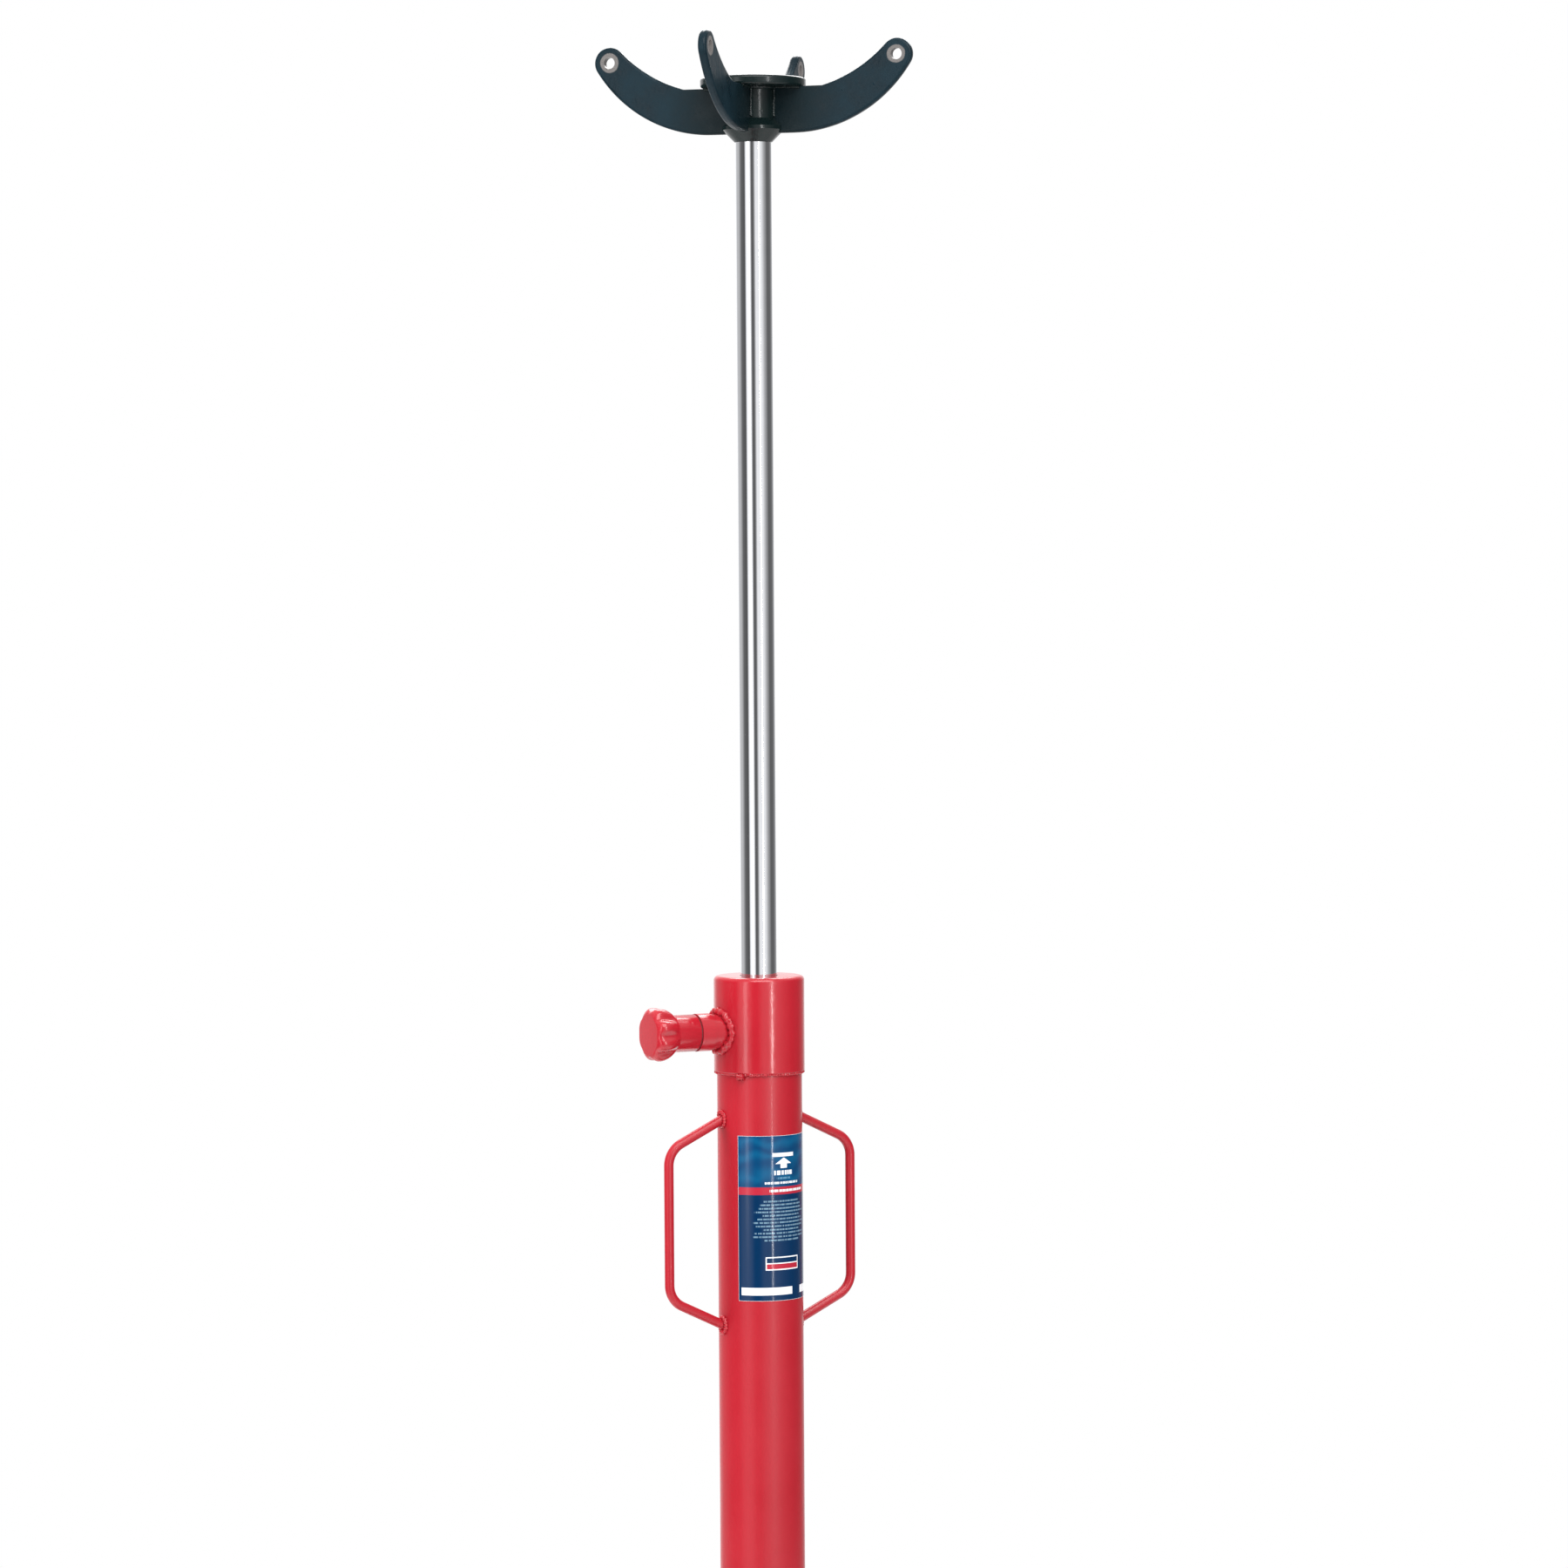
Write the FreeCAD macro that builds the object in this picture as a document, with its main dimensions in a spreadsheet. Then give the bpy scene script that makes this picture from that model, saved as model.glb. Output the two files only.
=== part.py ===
"""Single-ram transmission jack: a foot-pumped hydraulic column on four castored legs.

The frame is in millimetres with its origin on the floor under the ram, +Z up, -Y towards the
operator. The ram is drawn fully out, which is the rest position of the lift.
"""
import FreeCAD
import Part
import Sketcher

import math
import os
import re

DIMENSIONS = [
    ("column_od", 88.9, "reservoir tube, outside"),
    ("column_wall", 4, "reservoir tube wall"),
    ("column_foot", 74, "top face of the foot block"),
    ("column_top", 937, "tube end inside the head collar"),
    ("collar_od", 95, "head collar, outside"),
    ("collar_foot", 915, "lower edge of the head collar"),
    ("collar_top", 1015, "top face of the head collar"),
    ("cylinder_od", 58, "pressure cylinder, outside"),
    ("cylinder_bore", 48, "pressure cylinder bore"),
    ("cylinder_foot", 60, "floor of the pressure cylinder"),
    ("cylinder_top", 980, "upper end of the pressure cylinder"),
    ("collar_neck_od", 80, "part of the head collar inside the reservoir tube"),
    ("lip_gap", 0.8, "clearance of the collar's lips round the ram"),
    ("wiper_od", 44, "wiper ring, outside"),
    ("wiper_top", 3, "wiper groove below the collar's top face"),
    ("wiper_foot", 8.5, "lower face of the wiper groove below the collar's top face"),
    ("seal_od", 46, "rod seal, outside"),
    ("seal_top", 9, "rod seal below the collar's top face"),
    ("seal_foot", 15, "lower face of the rod seal below the collar's top face"),
    ("ram_od", 38, "chromed ram tube, outside"),
    ("ram_bore", 22, "ram tube bore"),
    ("ram_foot", 944, "lower end of the ram in its piston, ram fully out"),
    ("hub_foot", 1883, "lower face of the saddle hub"),
    ("piston_foot", 932, "lower face of the piston, ram fully out"),
    ("piston_top", 962, "upper face of the piston, ram fully out"),
    ("running_gap", 0.05, "radial clearance of a running fit"),
    ("free_gap", 0.3, "gap between faces that move past each other"),
    ("piston_groove_low", 8, "seal groove above the piston's lower face"),
    ("piston_groove_high", 14, "top of the seal groove above the piston's lower face"),
    ("stub_head_od", 26, "head of the saddle's stub shaft"),
    ("screw_od", 10, "screw that holds the saddle plate"),
    ("screw_sink", 0.4, "top of the screw below the plate's top face"),
    ("flare_low", 12.5, "lower edge of the hub's flare above its lower face"),
    ("flare_high", 16, "upper edge of the hub's flare above its lower face"),
    ("flare_end", 24, "top of the cone above the flare"),
    ("flare_lip", 0.6, "lower face of the hub, wider than the ram"),
    ("plate_od", 110, "saddle plate, outside"),
    ("plate_low", 56.5, "saddle plate underside above the hub's lower face"),
    ("plate_high", 66, "saddle plate top above the hub's lower face"),
    ("hub_tube_od", 48, "neck of the saddle hub"),
    ("hub_flare_od", 64, "flare at the foot of the saddle hub"),
    ("arm_thick", 9, "saddle arm plate"),
    ("arm_edge", 3, "rounding of the arm's long edges"),
    ("arm_tip_reach", 156.2, "arm tip hole, out from the ram axis"),
    ("arm_tip_height", 86.6, "arm tip hole above the hub's lower face"),
    ("arm_tip_round", 16.5, "arm tip radius"),
    ("arm_hole", 12, "arm tip hole"),
    ("arm_low_x", 45, "start of the arm's lower curve"),
    ("arm_low_z", 8.8, "lowest edge of the arm"),
    ("arm_low_bend", 148, "radius of the arm's lower curve"),
    ("arm_high_x", 36, "centre of the arm's upper curve, out from the ram axis"),
    ("arm_high_bend", 150, "radius of the arm's upper curve"),
    ("filler_height", 958, "filler axis"),
    ("filler_stub_od", 37, "filler stub"),
    ("filler_ring_od", 39.5, "ring on the filler neck"),
    ("filler_ring_start", 60, "inner face of the neck ring"),
    ("filler_ring_end", 75, "outer face of the neck ring"),
    ("filler_port_od", 24, "spigot of the filler neck in the collar"),
    ("filler_bore", 18, "bore of the filler neck"),
    ("filler_thread_od", 29.8, "threaded end of the filler neck"),
    ("filler_cap_bore", 30, "threaded bore of the cap"),
    ("filler_washer_od", 36, "washer between neck and cap"),
    ("filler_washer_thick", 1.5, "washer between neck and cap"),
    ("filler_cap_od", 38.7, "skirt of the filler cap"),
    ("filler_knob_start", 103, "back of the cap's knob"),
    ("filler_knob_end", 129.5, "outer face of the cap's knob"),
    ("filler_knob_od", 57.6, "rim of the cap's knob"),
    ("filler_knob_back", 48, "knob where it rises from the skirt"),
    ("filler_flute_reach", 35.5, "flute axes, out from the filler axis"),
    ("filler_flute_od", 17, "flutes round the knob"),
    ("handle_rod", 10, "handle rod"),
    ("handle_reach", 107, "upright of the handle, out from the column axis"),
    ("handle_middle", 758, "height of the handle's middle"),
    ("handle_weld", 108, "weld above the handle's middle"),
    ("handle_bend", 25, "bend radius on the rod's centreline"),
    ("handle_slope", 25.6, "slope of the handle's ends, degrees"),
    ("label_low", 678, "lower edge of the rating label"),
    ("label_high", 850.5, "upper edge of the rating label"),
    ("label_half_angle", 62.5, "half of the arc that the label covers, degrees"),
    ("label_turn", -86, "direction of the label's middle, degrees from +X"),
    ("label_thick", 0.3, "rating label"),
    ("leg_low", 110, "underside of the legs"),
    ("leg_high", 150, "top of the legs"),
    ("leg_width", 60, "leg tube, across"),
    ("leg_wall", 3, "leg tube wall"),
    ("leg_end", 378, "outer end of the legs, out from the column axis"),
    ("foot_plate_thick", 6, "plate welded under each leg's end"),
    ("foot_plate_width", 100, "foot plate and castor plate, across the leg"),
    ("foot_plate_length", 78, "foot plate and castor plate, along the leg"),
    ("bolt_half_across", 40, "castor bolts from the leg's centreline"),
    ("bolt_half_along", 28, "castor bolts from the swivel axis, along the leg"),
    ("bolt_od", 8, "castor bolts and castor axles"),
    ("bolt_flats", 13, "their heads and nuts, across flats"),
    ("bolt_head", 5.3, "height of their heads"),
    ("bolt_nut", 6.5, "height of their nuts"),
    ("castor_radius", 330, "swivel axes, out from the column axis"),
    ("castor_plate_low", 100, "underside of the castor plates"),
    ("castor_trail", 28, "castor axle behind its swivel axis"),
    ("wheel_od", 75, "castor wheel"),
    ("wheel_width", 25, "castor wheel tread"),
    ("fork_inside", 30, "between the fork's cheeks"),
    ("fork_wall", 3.5, "fork cheek"),
    ("crown_high", 93.7, "top of the fork crown"),
    ("crown_low", 88.7, "underside of the fork crown"),
    ("kingpin_od", 12, "castor kingpin"),
    ("race_radius", 19, "ball circle of the castor race"),
    ("race_half", 3.2, "half width of the race grooves at their mouth"),
    ("race_floor", 1.8, "half width of the race grooves at their floor"),
    ("race_height", 95.2, "centre height of the race balls"),
    ("ball_od", 6.35, "race balls"),
    ("hub_radius", 11, "castor wheel hub"),
    ("rim_radius", 27.5, "inner edge of the castor wheel's rim"),
    ("block_low", 30, "underside of the foot block"),
    ("block_width", 96, "foot block, across"),
    ("block_front", 132, "front face of the foot block, in front of the axis"),
    ("block_back", 54, "back face of the foot block, behind the axis"),
    ("relief_y", -70, "relief screw, along the foot block"),
    ("relief_od", 12, "relief screw"),
    ("pump_y", -94.6, "pump plunger axis"),
    ("plunger_od", 16, "pump plunger"),
    ("plunger_top", 201.7, "top of the plunger, pedal up"),
    ("plunger_cap_od", 24, "cap on the plunger that the spring pushes"),
    ("plunger_cap", 6, "thickness of that cap"),
    ("spring_radius", 10.3, "pump return spring, middle of the wire"),
    ("spring_wire", 2.2, "wire of the pump return spring"),
    ("barrel_od", 36, "pump barrel"),
    ("barrel_top", 135, "top of the pump barrel"),
    ("gland_high", 11, "hexagon gland on the pump barrel"),
    ("pivot_y", -58, "pump pedal pivot axis"),
    ("pivot_z", 200, "height of the pump pedal pivot"),
    ("pedal_rise", 12.5, "pedal above level at rest, degrees"),
    ("pedal_length", 186, "pedal side plates, from the pivot"),
    ("roller_arm", 37, "roller from the pedal pivot"),
    ("pedal_pin_od", 12, "pedal pivot pin"),
    ("bracket_inside", 22, "bracket cheeks, inner face from the middle"),
    ("bracket_outside", 28, "bracket cheeks, outer face from the middle"),
    ("lever_side", 13.5, "inner face of the pedal's side plates from the middle"),
    ("lever_thick", 6, "side plates of the pump pedal"),
    ("step_low", 9.5, "underside of the pedal's step plate above its pivot line"),
    ("step_high", 14.5, "top of the pedal's step plate above its pivot line"),
    ("tread_high", 22.5, "top of the rubber tread above the pivot line"),
    ("release_x", 28, "release spindle axis, across"),
    ("release_z", 50, "release spindle axis, height"),
    ("release_rise", 15, "release pedal above level at rest, degrees"),
    ("release_length", 92, "release pedal, from its spindle"),
    ("release_od", 14, "release spindle"),
]

ORIGIN = -1
H_AXIS = -1
V_AXIS = -2
QUARTER_TURNS = {"rear_right": 45, "rear_left": 135, "front_left": 225, "front_right": 315}

BALLS_PER_RACE = 16
BOLT_PLACES = [(f"{along}bolt_half_along", f"{across}bolt_half_across")
               for along in ("-", "") for across in ("-", "")]

doc = FreeCAD.newDocument("TransmissionJack")
sheet = doc.addObject("Spreadsheet::Sheet", "Dimensions")
for row, (alias, amount, note) in enumerate(DIMENSIONS, 1):
    sheet.set(f"A{row}", note)
    sheet.set(f"B{row}", str(amount))
    sheet.setAlias(f"B{row}", alias)
doc.recompute()
ALIASES = {alias for alias, _, _ in DIMENSIONS}
sub_parts = []


def bound(text):
    """Expression in the sheet's aliases, as another object of the document reads it."""
    def full_name(match):
        word = match.group(0)
        return f"Dimensions.{word}" if word in ALIASES else word
    return re.sub(r"[a-z_]+", full_name, text)


def size(text):
    """Number that an expression in the sheet's aliases gives."""
    return float(sheet.evalExpression(text))


def new_body(label, several=False):
    """PartDesign body of one sub-part; several lets it hold a group of like solids."""
    body = doc.addObject("PartDesign::Body", label)
    body.Label = label
    body.AllowCompound = several
    sub_parts.append(body)
    return body


def origin_feature(body, role):
    return next(item for item in body.Origin.OriginFeatures if item.Role == role)


def place(item, x="0", y="0", z="0", turn="0", about=(0, 0, 1)):
    """Move a sub-part to x, y, z and turn it about an axis, all read from the sheet."""
    for axis, text in (("x", x), ("y", y), ("z", z)):
        if text != "0":
            item.setExpression(f"Placement.Base.{axis}", bound(text))
    if turn != "0":
        rotation = FreeCAD.Rotation(FreeCAD.Vector(*about), size(turn))
        item.Placement = FreeCAD.Placement(FreeCAD.Vector(), rotation)
        item.setExpression("Placement.Rotation.Angle", bound(turn))


def new_sketch(body, name, plane, offset="0", shift="0"):
    """Sketch on one of the body's own origin planes, moved along its normal and along its first axis."""
    sketch = body.newObject("Sketcher::SketchObject", name)
    sketch.AttachmentSupport = [(origin_feature(body, f"{plane}_Plane"), "")]
    sketch.MapMode = "FlatFace"
    if offset != "0":
        sketch.setExpression(".AttachmentOffset.Base.z", bound(offset))
    if shift != "0":
        sketch.setExpression(".AttachmentOffset.Base.x", bound(shift))
    return sketch


def dimension(sketch, kind, *terms):
    """Dimension whose last term is an expression."""
    text = terms[-1]
    amount = math.radians(size(text)) if kind == "Angle" else size(text)
    index = sketch.addConstraint(Sketcher.Constraint(kind, *terms[:-1], amount))
    sketch.setExpression(f"Constraints[{index}]", bound(text))


def pin(sketch, edge, end, across, up):
    """Hold one point of an edge at the place that two expressions give."""
    for kind, text, axis in (("DistanceX", across, V_AXIS), ("DistanceY", up, H_AXIS)):
        if text == "0":
            sketch.addConstraint(Sketcher.Constraint("PointOnObject", edge, end, axis))
        else:
            dimension(sketch, kind, ORIGIN, 1, edge, end, text)


def outline(sketch, points):
    """Closed run of straight edges through points given as pairs of expressions."""
    spots = [FreeCAD.Vector(size(across), size(up), 0) for across, up in points]
    first = sketch.GeometryCount
    count = len(spots)
    for i, spot in enumerate(spots):
        sketch.addGeometry(Part.LineSegment(spot, spots[(i + 1) % count]))
    for i, (across, up) in enumerate(points):
        sketch.addConstraint(Sketcher.Constraint("Coincident", first + i, 2, first + (i + 1) % count, 1))
        pin(sketch, first + i, 1, across, up)


def rectangle(sketch, left, right, low, high):
    outline(sketch, [(left, low), (right, low), (right, high), (left, high)])


def circle(sketch, across, up, diameter):
    centre = FreeCAD.Vector(size(across), size(up), 0)
    edge = sketch.addGeometry(Part.Circle(centre, FreeCAD.Vector(0, 0, 1), size(diameter) / 2))
    pin(sketch, edge, 3, across, up)
    dimension(sketch, "Diameter", edge, diameter)


def hexagon(sketch, across, up, flats, start=0):
    """Regular hexagon of the given size across its flats."""
    corners = [start + 60 * i for i in range(6)]
    outline(sketch, [(f"{across} + {flats} / sqrt(3) * cos({a})", f"{up} + {flats} / sqrt(3) * sin({a})")
                     for a in corners])


def feature(kind, name, sketch, settings, sizes, removes=False):
    """Add a PartDesign feature made from a sketch and check that it changed the body."""
    body = sketch.getParentGeoFeatureGroup()
    doc.recompute()
    before = 0 if body.Shape.isNull() else body.Shape.Volume
    item = body.newObject(f"PartDesign::{kind}", name)
    item.Profile = sketch
    for key, setting in settings.items():
        setattr(item, key, setting)
    for key, text in sizes.items():
        item.setExpression(key, bound(text))
    doc.recompute()
    change = body.Shape.Volume - before
    if (change > -0.01) if removes else (change < 0.01):
        raise RuntimeError(f"{body.Label}.{name} changed nothing: {change}")
    return item


def pad(sketch, length, name="Pad", both_ways=False):
    side = "Symmetric" if both_ways else "One side"
    return feature("Pad", name, sketch, {"SideType": side}, {"Length": length})


def pocket(sketch, name="Pocket", length=None, both_ways=True, reverse=False):
    """Cut a sketch through the body, or to a length."""
    settings = {"SideType": "Symmetric" if both_ways else "One side", "Reversed": reverse}
    if length is None:
        return feature("Pocket", name, sketch, {**settings, "Type": "ThroughAll"}, {}, True)
    return feature("Pocket", name, sketch, settings, {"Length": length}, True)


def revolve(sketch, name="Turned", axis="V_Axis", removes=False):
    settings = {"ReferenceAxis": (sketch, [axis])}
    kind = "Groove" if removes else "Revolution"
    return feature(kind, name, sketch, settings, {"Angle": "360"}, removes)


def turned(label, points, plane="XZ", axis="V_Axis"):
    """Round sub-part turned from half of its section."""
    body = new_body(label)
    sketch = new_sketch(body, "Section", plane)
    outline(sketch, points)
    revolve(sketch, axis=axis)
    return body


def ring(label, inside, outside, low, high):
    """Plain round tube, washer or seal on the vertical axis."""
    inner = f"{inside} / 2"
    outer = f"{outside} / 2"
    return turned(label, [(inner, low), (outer, low), (outer, high), (inner, high)])


def round_edges(body, radius, wanted, kind="Fillet"):
    """Fillet or chamfer the edges of the body's last feature that the test picks."""
    doc.recompute()
    base = body.Tip
    names = [f"Edge{i}" for i, edge in enumerate(base.Shape.Edges, 1) if wanted(edge)]
    if not names:
        raise RuntimeError(f"{body.Label}: no edge to round")
    item = body.newObject(f"PartDesign::{kind}", f"{kind}{len(body.Group)}")
    item.Base = (base, names)
    item.setExpression("Radius" if kind == "Fillet" else "Size", bound(radius))
    doc.recompute()


def repeat_round(body, items, count):
    """Repeat features about the body's vertical axis."""
    item = body.newObject("PartDesign::PolarPattern", "Repeated")
    item.Originals = items
    item.Axis = (origin_feature(body, "Z_Axis"), [""])
    item.Angle = 360
    item.Occurrences = count
    body.Tip = item
    doc.recompute()


def flat_at(height):
    """Test for edges that lie level at a height."""
    level = size(height)
    return lambda edge: abs(edge.BoundBox.ZMin - level) < 0.01 and abs(edge.BoundBox.ZMax - level) < 0.01


# Column: reservoir tube, pressure cylinder and the collar that closes both

def make_column():
    ring("reservoir_tube", "(column_od - 2 * column_wall)", "column_od", "column_foot", "column_top")
    ring("pressure_cylinder", "cylinder_bore", "cylinder_od", "cylinder_foot", "cylinder_top")
    collar = turned("head_collar", [
        ("column_od / 2", "collar_foot"),
        ("collar_od / 2", "collar_foot"),
        ("collar_od / 2", "collar_top"),
        ("ram_od / 2 + lip_gap", "collar_top"),
        ("ram_od / 2 + lip_gap", "collar_top - wiper_top"),
        ("wiper_od / 2", "collar_top - wiper_top"),
        ("wiper_od / 2", "collar_top - wiper_foot"),
        ("ram_od / 2 + lip_gap", "collar_top - wiper_foot"),
        ("ram_od / 2 + lip_gap", "collar_top - seal_top"),
        ("seal_od / 2", "collar_top - seal_top"),
        ("seal_od / 2", "collar_top - seal_foot"),
        ("cylinder_bore / 2", "collar_top - seal_foot"),
        ("cylinder_bore / 2", "cylinder_top"),
        ("cylinder_od / 2", "cylinder_top"),
        ("cylinder_od / 2", "cylinder_top - 8"),
        ("collar_neck_od / 2", "cylinder_top - 8"),
        ("collar_neck_od / 2", "column_top"),
        ("column_od / 2", "column_top"),
    ])
    port = new_sketch(collar, "FillerPort", "YZ", "-44")
    circle(port, "0", "filler_height", "filler_port_od")
    pocket(port, "Port", "20")
    rim = size("collar_od") / 2
    top = flat_at("collar_top")
    round_edges(collar, "5", lambda edge: top(edge) and abs(edge.BoundBox.XMax - rim) < 0.01)
    foot = flat_at("collar_foot")
    round_edges(collar, "1.2", lambda edge: foot(edge) and abs(edge.BoundBox.XMax - rim) < 0.01)
    ring("guide_bush", "(ram_od + 2 * running_gap)", "cylinder_bore", "piston_top + 0.5",
         "collar_top - seal_foot")
    ring("rod_seal", "(ram_od + 2 * running_gap)", "seal_od", "collar_top - seal_foot",
         "collar_top - seal_top")
    ring("wiper_ring", "(ram_od + 2 * running_gap)", "wiper_od", "collar_top - wiper_foot",
         "collar_top - wiper_top")


# Ram: chromed tube with its piston, and the seal in the piston's groove

def make_ram():
    ring("ram_tube", "ram_bore", "ram_od", "ram_foot", "hub_foot - free_gap")
    seal_in = "cylinder_bore / 2 - 4"
    skirt = "cylinder_bore / 2 - 0.2"
    turned("piston_head", [
        ("0", "piston_foot"),
        (skirt, "piston_foot"),
        (skirt, "piston_foot + piston_groove_low"),
        (seal_in, "piston_foot + piston_groove_low"),
        (seal_in, "piston_foot + piston_groove_high"),
        (skirt, "piston_foot + piston_groove_high"),
        (skirt, "piston_top"),
        ("ram_od / 2", "piston_top"),
        ("ram_od / 2", "ram_foot"),
        ("0", "ram_foot"),
    ])
    ring("piston_seal", "(cylinder_bore - 8)", "(cylinder_bore - 2 * running_gap)",
         "piston_foot + piston_groove_low", "piston_foot + piston_groove_high")


# Saddle: hub, stub shaft, round plate and four curved arms, all above the hub's lower face

def make_saddle():
    hub_in = "stub_head_od / 2"
    hub = turned("saddle_hub", [
        (hub_in, "0"),
        ("ram_od / 2 + flare_lip", "0"),
        ("hub_flare_od / 2", "flare_low"),
        ("hub_flare_od / 2", "flare_high"),
        ("hub_tube_od / 2", "flare_end"),
        ("hub_tube_od / 2", "plate_low"),
        (hub_in, "plate_low"),
    ])
    place(hub, z="hub_foot")
    stub = turned("saddle_stub", [
        ("0", "-60"),
        ("ram_bore / 2 - 2", "-60"),
        ("ram_bore / 2 - running_gap", "-58"),
        ("ram_bore / 2 - running_gap", "0"),
        (hub_in, "0"),
        (hub_in, "plate_low"),
        ("screw_od / 2", "plate_low"),
        ("screw_od / 2", "30"),
        ("0", "30"),
    ])
    place(stub, z="hub_foot")
    plate = turned("saddle_plate", [
        ("screw_od / 2", "plate_low"),
        ("plate_od / 2", "plate_low"),
        ("plate_od / 2", "plate_high"),
        ("screw_od", "plate_high"),
        ("screw_od / 2", "plate_high - screw_od / 2"),
    ])
    place(plate, z="hub_foot")
    rim = size("plate_od / 2")
    round_edges(plate, "2.5", lambda edge: edge.BoundBox.XMax > rim - 0.01 and edge.BoundBox.XMin < 0)
    screw = turned("saddle_screw", [
        ("0", "30.5"),
        ("screw_od / 2", "30.5"),
        ("screw_od / 2", "plate_high - screw_od / 2"),
        ("screw_od - screw_sink", "plate_high - screw_sink"),
        ("0", "plate_high - screw_sink"),
    ])
    place(screw, z="hub_foot")
    socket = new_sketch(screw, "Socket", "XY", "plate_high - screw_sink")
    hexagon(socket, "0", "0", "6")
    pocket(socket, "SocketCut", "8")
    for number, turn in enumerate(QUARTER_TURNS.values(), 1):
        make_saddle_arm(f"saddle_arm_{number}", str(turn))


def make_saddle_arm(label, turn):
    """Flame-cut arm: a flat root under the plate that sweeps up into a round tip with a hole."""
    body = new_body(label)
    sketch = new_sketch(body, "Outline", "XZ")
    root = "hub_tube_od / 2 - 3"
    low_centre_z = "(arm_low_z + arm_low_bend)"
    tip = FreeCAD.Vector(size("arm_tip_reach"), size("arm_tip_height"), 0)
    low_centre = FreeCAD.Vector(size("arm_low_x"), size(low_centre_z), 0)
    high_z = high_curve_height()
    high_centre = FreeCAD.Vector(size("arm_high_x"), high_z, 0)
    up = FreeCAD.Vector(0, 0, 1)
    low_dir = (tip - low_centre).normalize()
    high_dir = (tip - high_centre).normalize()
    tip_round = size("arm_tip_round")
    low_bend = size("arm_low_bend")
    high_bend = size("arm_high_bend")
    plate_low = size("plate_low")
    high_x = high_centre.x + math.sqrt(high_bend ** 2 - (high_z - plate_low) ** 2)
    outer = tip + low_dir * tip_round
    inner = tip - high_dir * tip_round
    start = FreeCAD.Vector(size(root), size("arm_low_z"), 0)
    bend_start = FreeCAD.Vector(low_centre.x, start.y, 0)
    corner = FreeCAD.Vector(high_x, plate_low, 0)
    top_in = FreeCAD.Vector(start.x, plate_low, 0)
    angle = [math.atan2(v.y, v.x) for v in (low_dir, high_dir * -1, corner - high_centre, high_dir)]
    low_edge = sketch.addGeometry(Part.LineSegment(start, bend_start))
    low_circle = Part.Circle(low_centre, up, low_bend)
    low_arc = sketch.addGeometry(Part.ArcOfCircle(low_circle, -math.pi / 2, angle[0]))
    tip_arc = sketch.addGeometry(Part.ArcOfCircle(Part.Circle(tip, up, tip_round), angle[0], angle[1]))
    high_circle = Part.Circle(high_centre, up, high_bend)
    high_arc = sketch.addGeometry(Part.ArcOfCircle(high_circle, angle[2], angle[3]))
    top_edge = sketch.addGeometry(Part.LineSegment(corner, top_in))
    root_edge = sketch.addGeometry(Part.LineSegment(top_in, start))
    joins = [(low_edge, 2, low_arc, 1), (low_arc, 2, tip_arc, 1), (tip_arc, 2, high_arc, 2)]
    for join in joins:
        sketch.addConstraint(Sketcher.Constraint("Tangent", *join))
    joins = [(high_arc, 1, top_edge, 1), (top_edge, 2, root_edge, 1), (root_edge, 2, low_edge, 1)]
    for join in joins:
        sketch.addConstraint(Sketcher.Constraint("Coincident", *join))
    pin(sketch, tip_arc, 3, "arm_tip_reach", "arm_tip_height")
    pin(sketch, low_edge, 1, root, "arm_low_z")
    sketch.addConstraint(Sketcher.Constraint("Horizontal", low_edge))
    sketch.addConstraint(Sketcher.Constraint("Vertical", root_edge))
    sketch.addConstraint(Sketcher.Constraint("Horizontal", top_edge))
    dimension(sketch, "DistanceY", ORIGIN, 1, top_edge, 2, "plate_low")
    dimension(sketch, "DistanceX", ORIGIN, 1, high_arc, 3, "arm_high_x")
    for arc, radius in ((tip_arc, "arm_tip_round"), (low_arc, "arm_low_bend"), (high_arc, "arm_high_bend")):
        dimension(sketch, "Radius", arc, radius)
    pad(sketch, "arm_thick", both_ways=True)
    root_x = size(root)
    level = flat_at("plate_low")
    round_edges(body, "arm_edge", lambda edge: edge.BoundBox.YLength < 0.01 and not level(edge)
                and edge.BoundBox.XMax > root_x + 1)
    hole = new_sketch(body, "TipHole", "XZ")
    circle(hole, "arm_tip_reach", "arm_tip_height", "arm_hole")
    pocket(hole, "Hole")
    cope = new_sketch(body, "HubRoom", "XY")
    circle(cope, "0", "0", "hub_tube_od")
    pocket(cope, "Cope")
    flare = new_sketch(body, "FlareRoom", "XZ")
    outline(flare, [("0", "-5"), ("ram_od / 2 + flare_lip", "0"), ("hub_flare_od / 2", "flare_low"),
                    ("hub_flare_od / 2", "flare_high"), ("hub_tube_od / 2", "flare_end"), ("0", "flare_end")])
    revolve(flare, "FlareCope", removes=True)
    place(body, z="hub_foot", turn=turn)


def high_curve_height():
    """Height of the upper curve's centre that makes it run into the tip round."""
    reach = size("arm_high_bend + arm_tip_round")
    across = size("arm_tip_reach - arm_high_x")
    return size("arm_tip_height") + math.sqrt(reach ** 2 - across ** 2)


# Filler: neck welded into the collar on the left, with a washer and a knobbed cap

def turned_left(label, points):
    """Sub-part turned about the filler's axis; each point is distance out and radius."""
    body = new_body(label)
    sketch = new_sketch(body, "Section", "XZ")
    outline(sketch, [(f"-({out})", radius) for out, radius in points])
    revolve(sketch, axis="H_Axis")
    place(body, z="filler_height")
    return body


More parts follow.
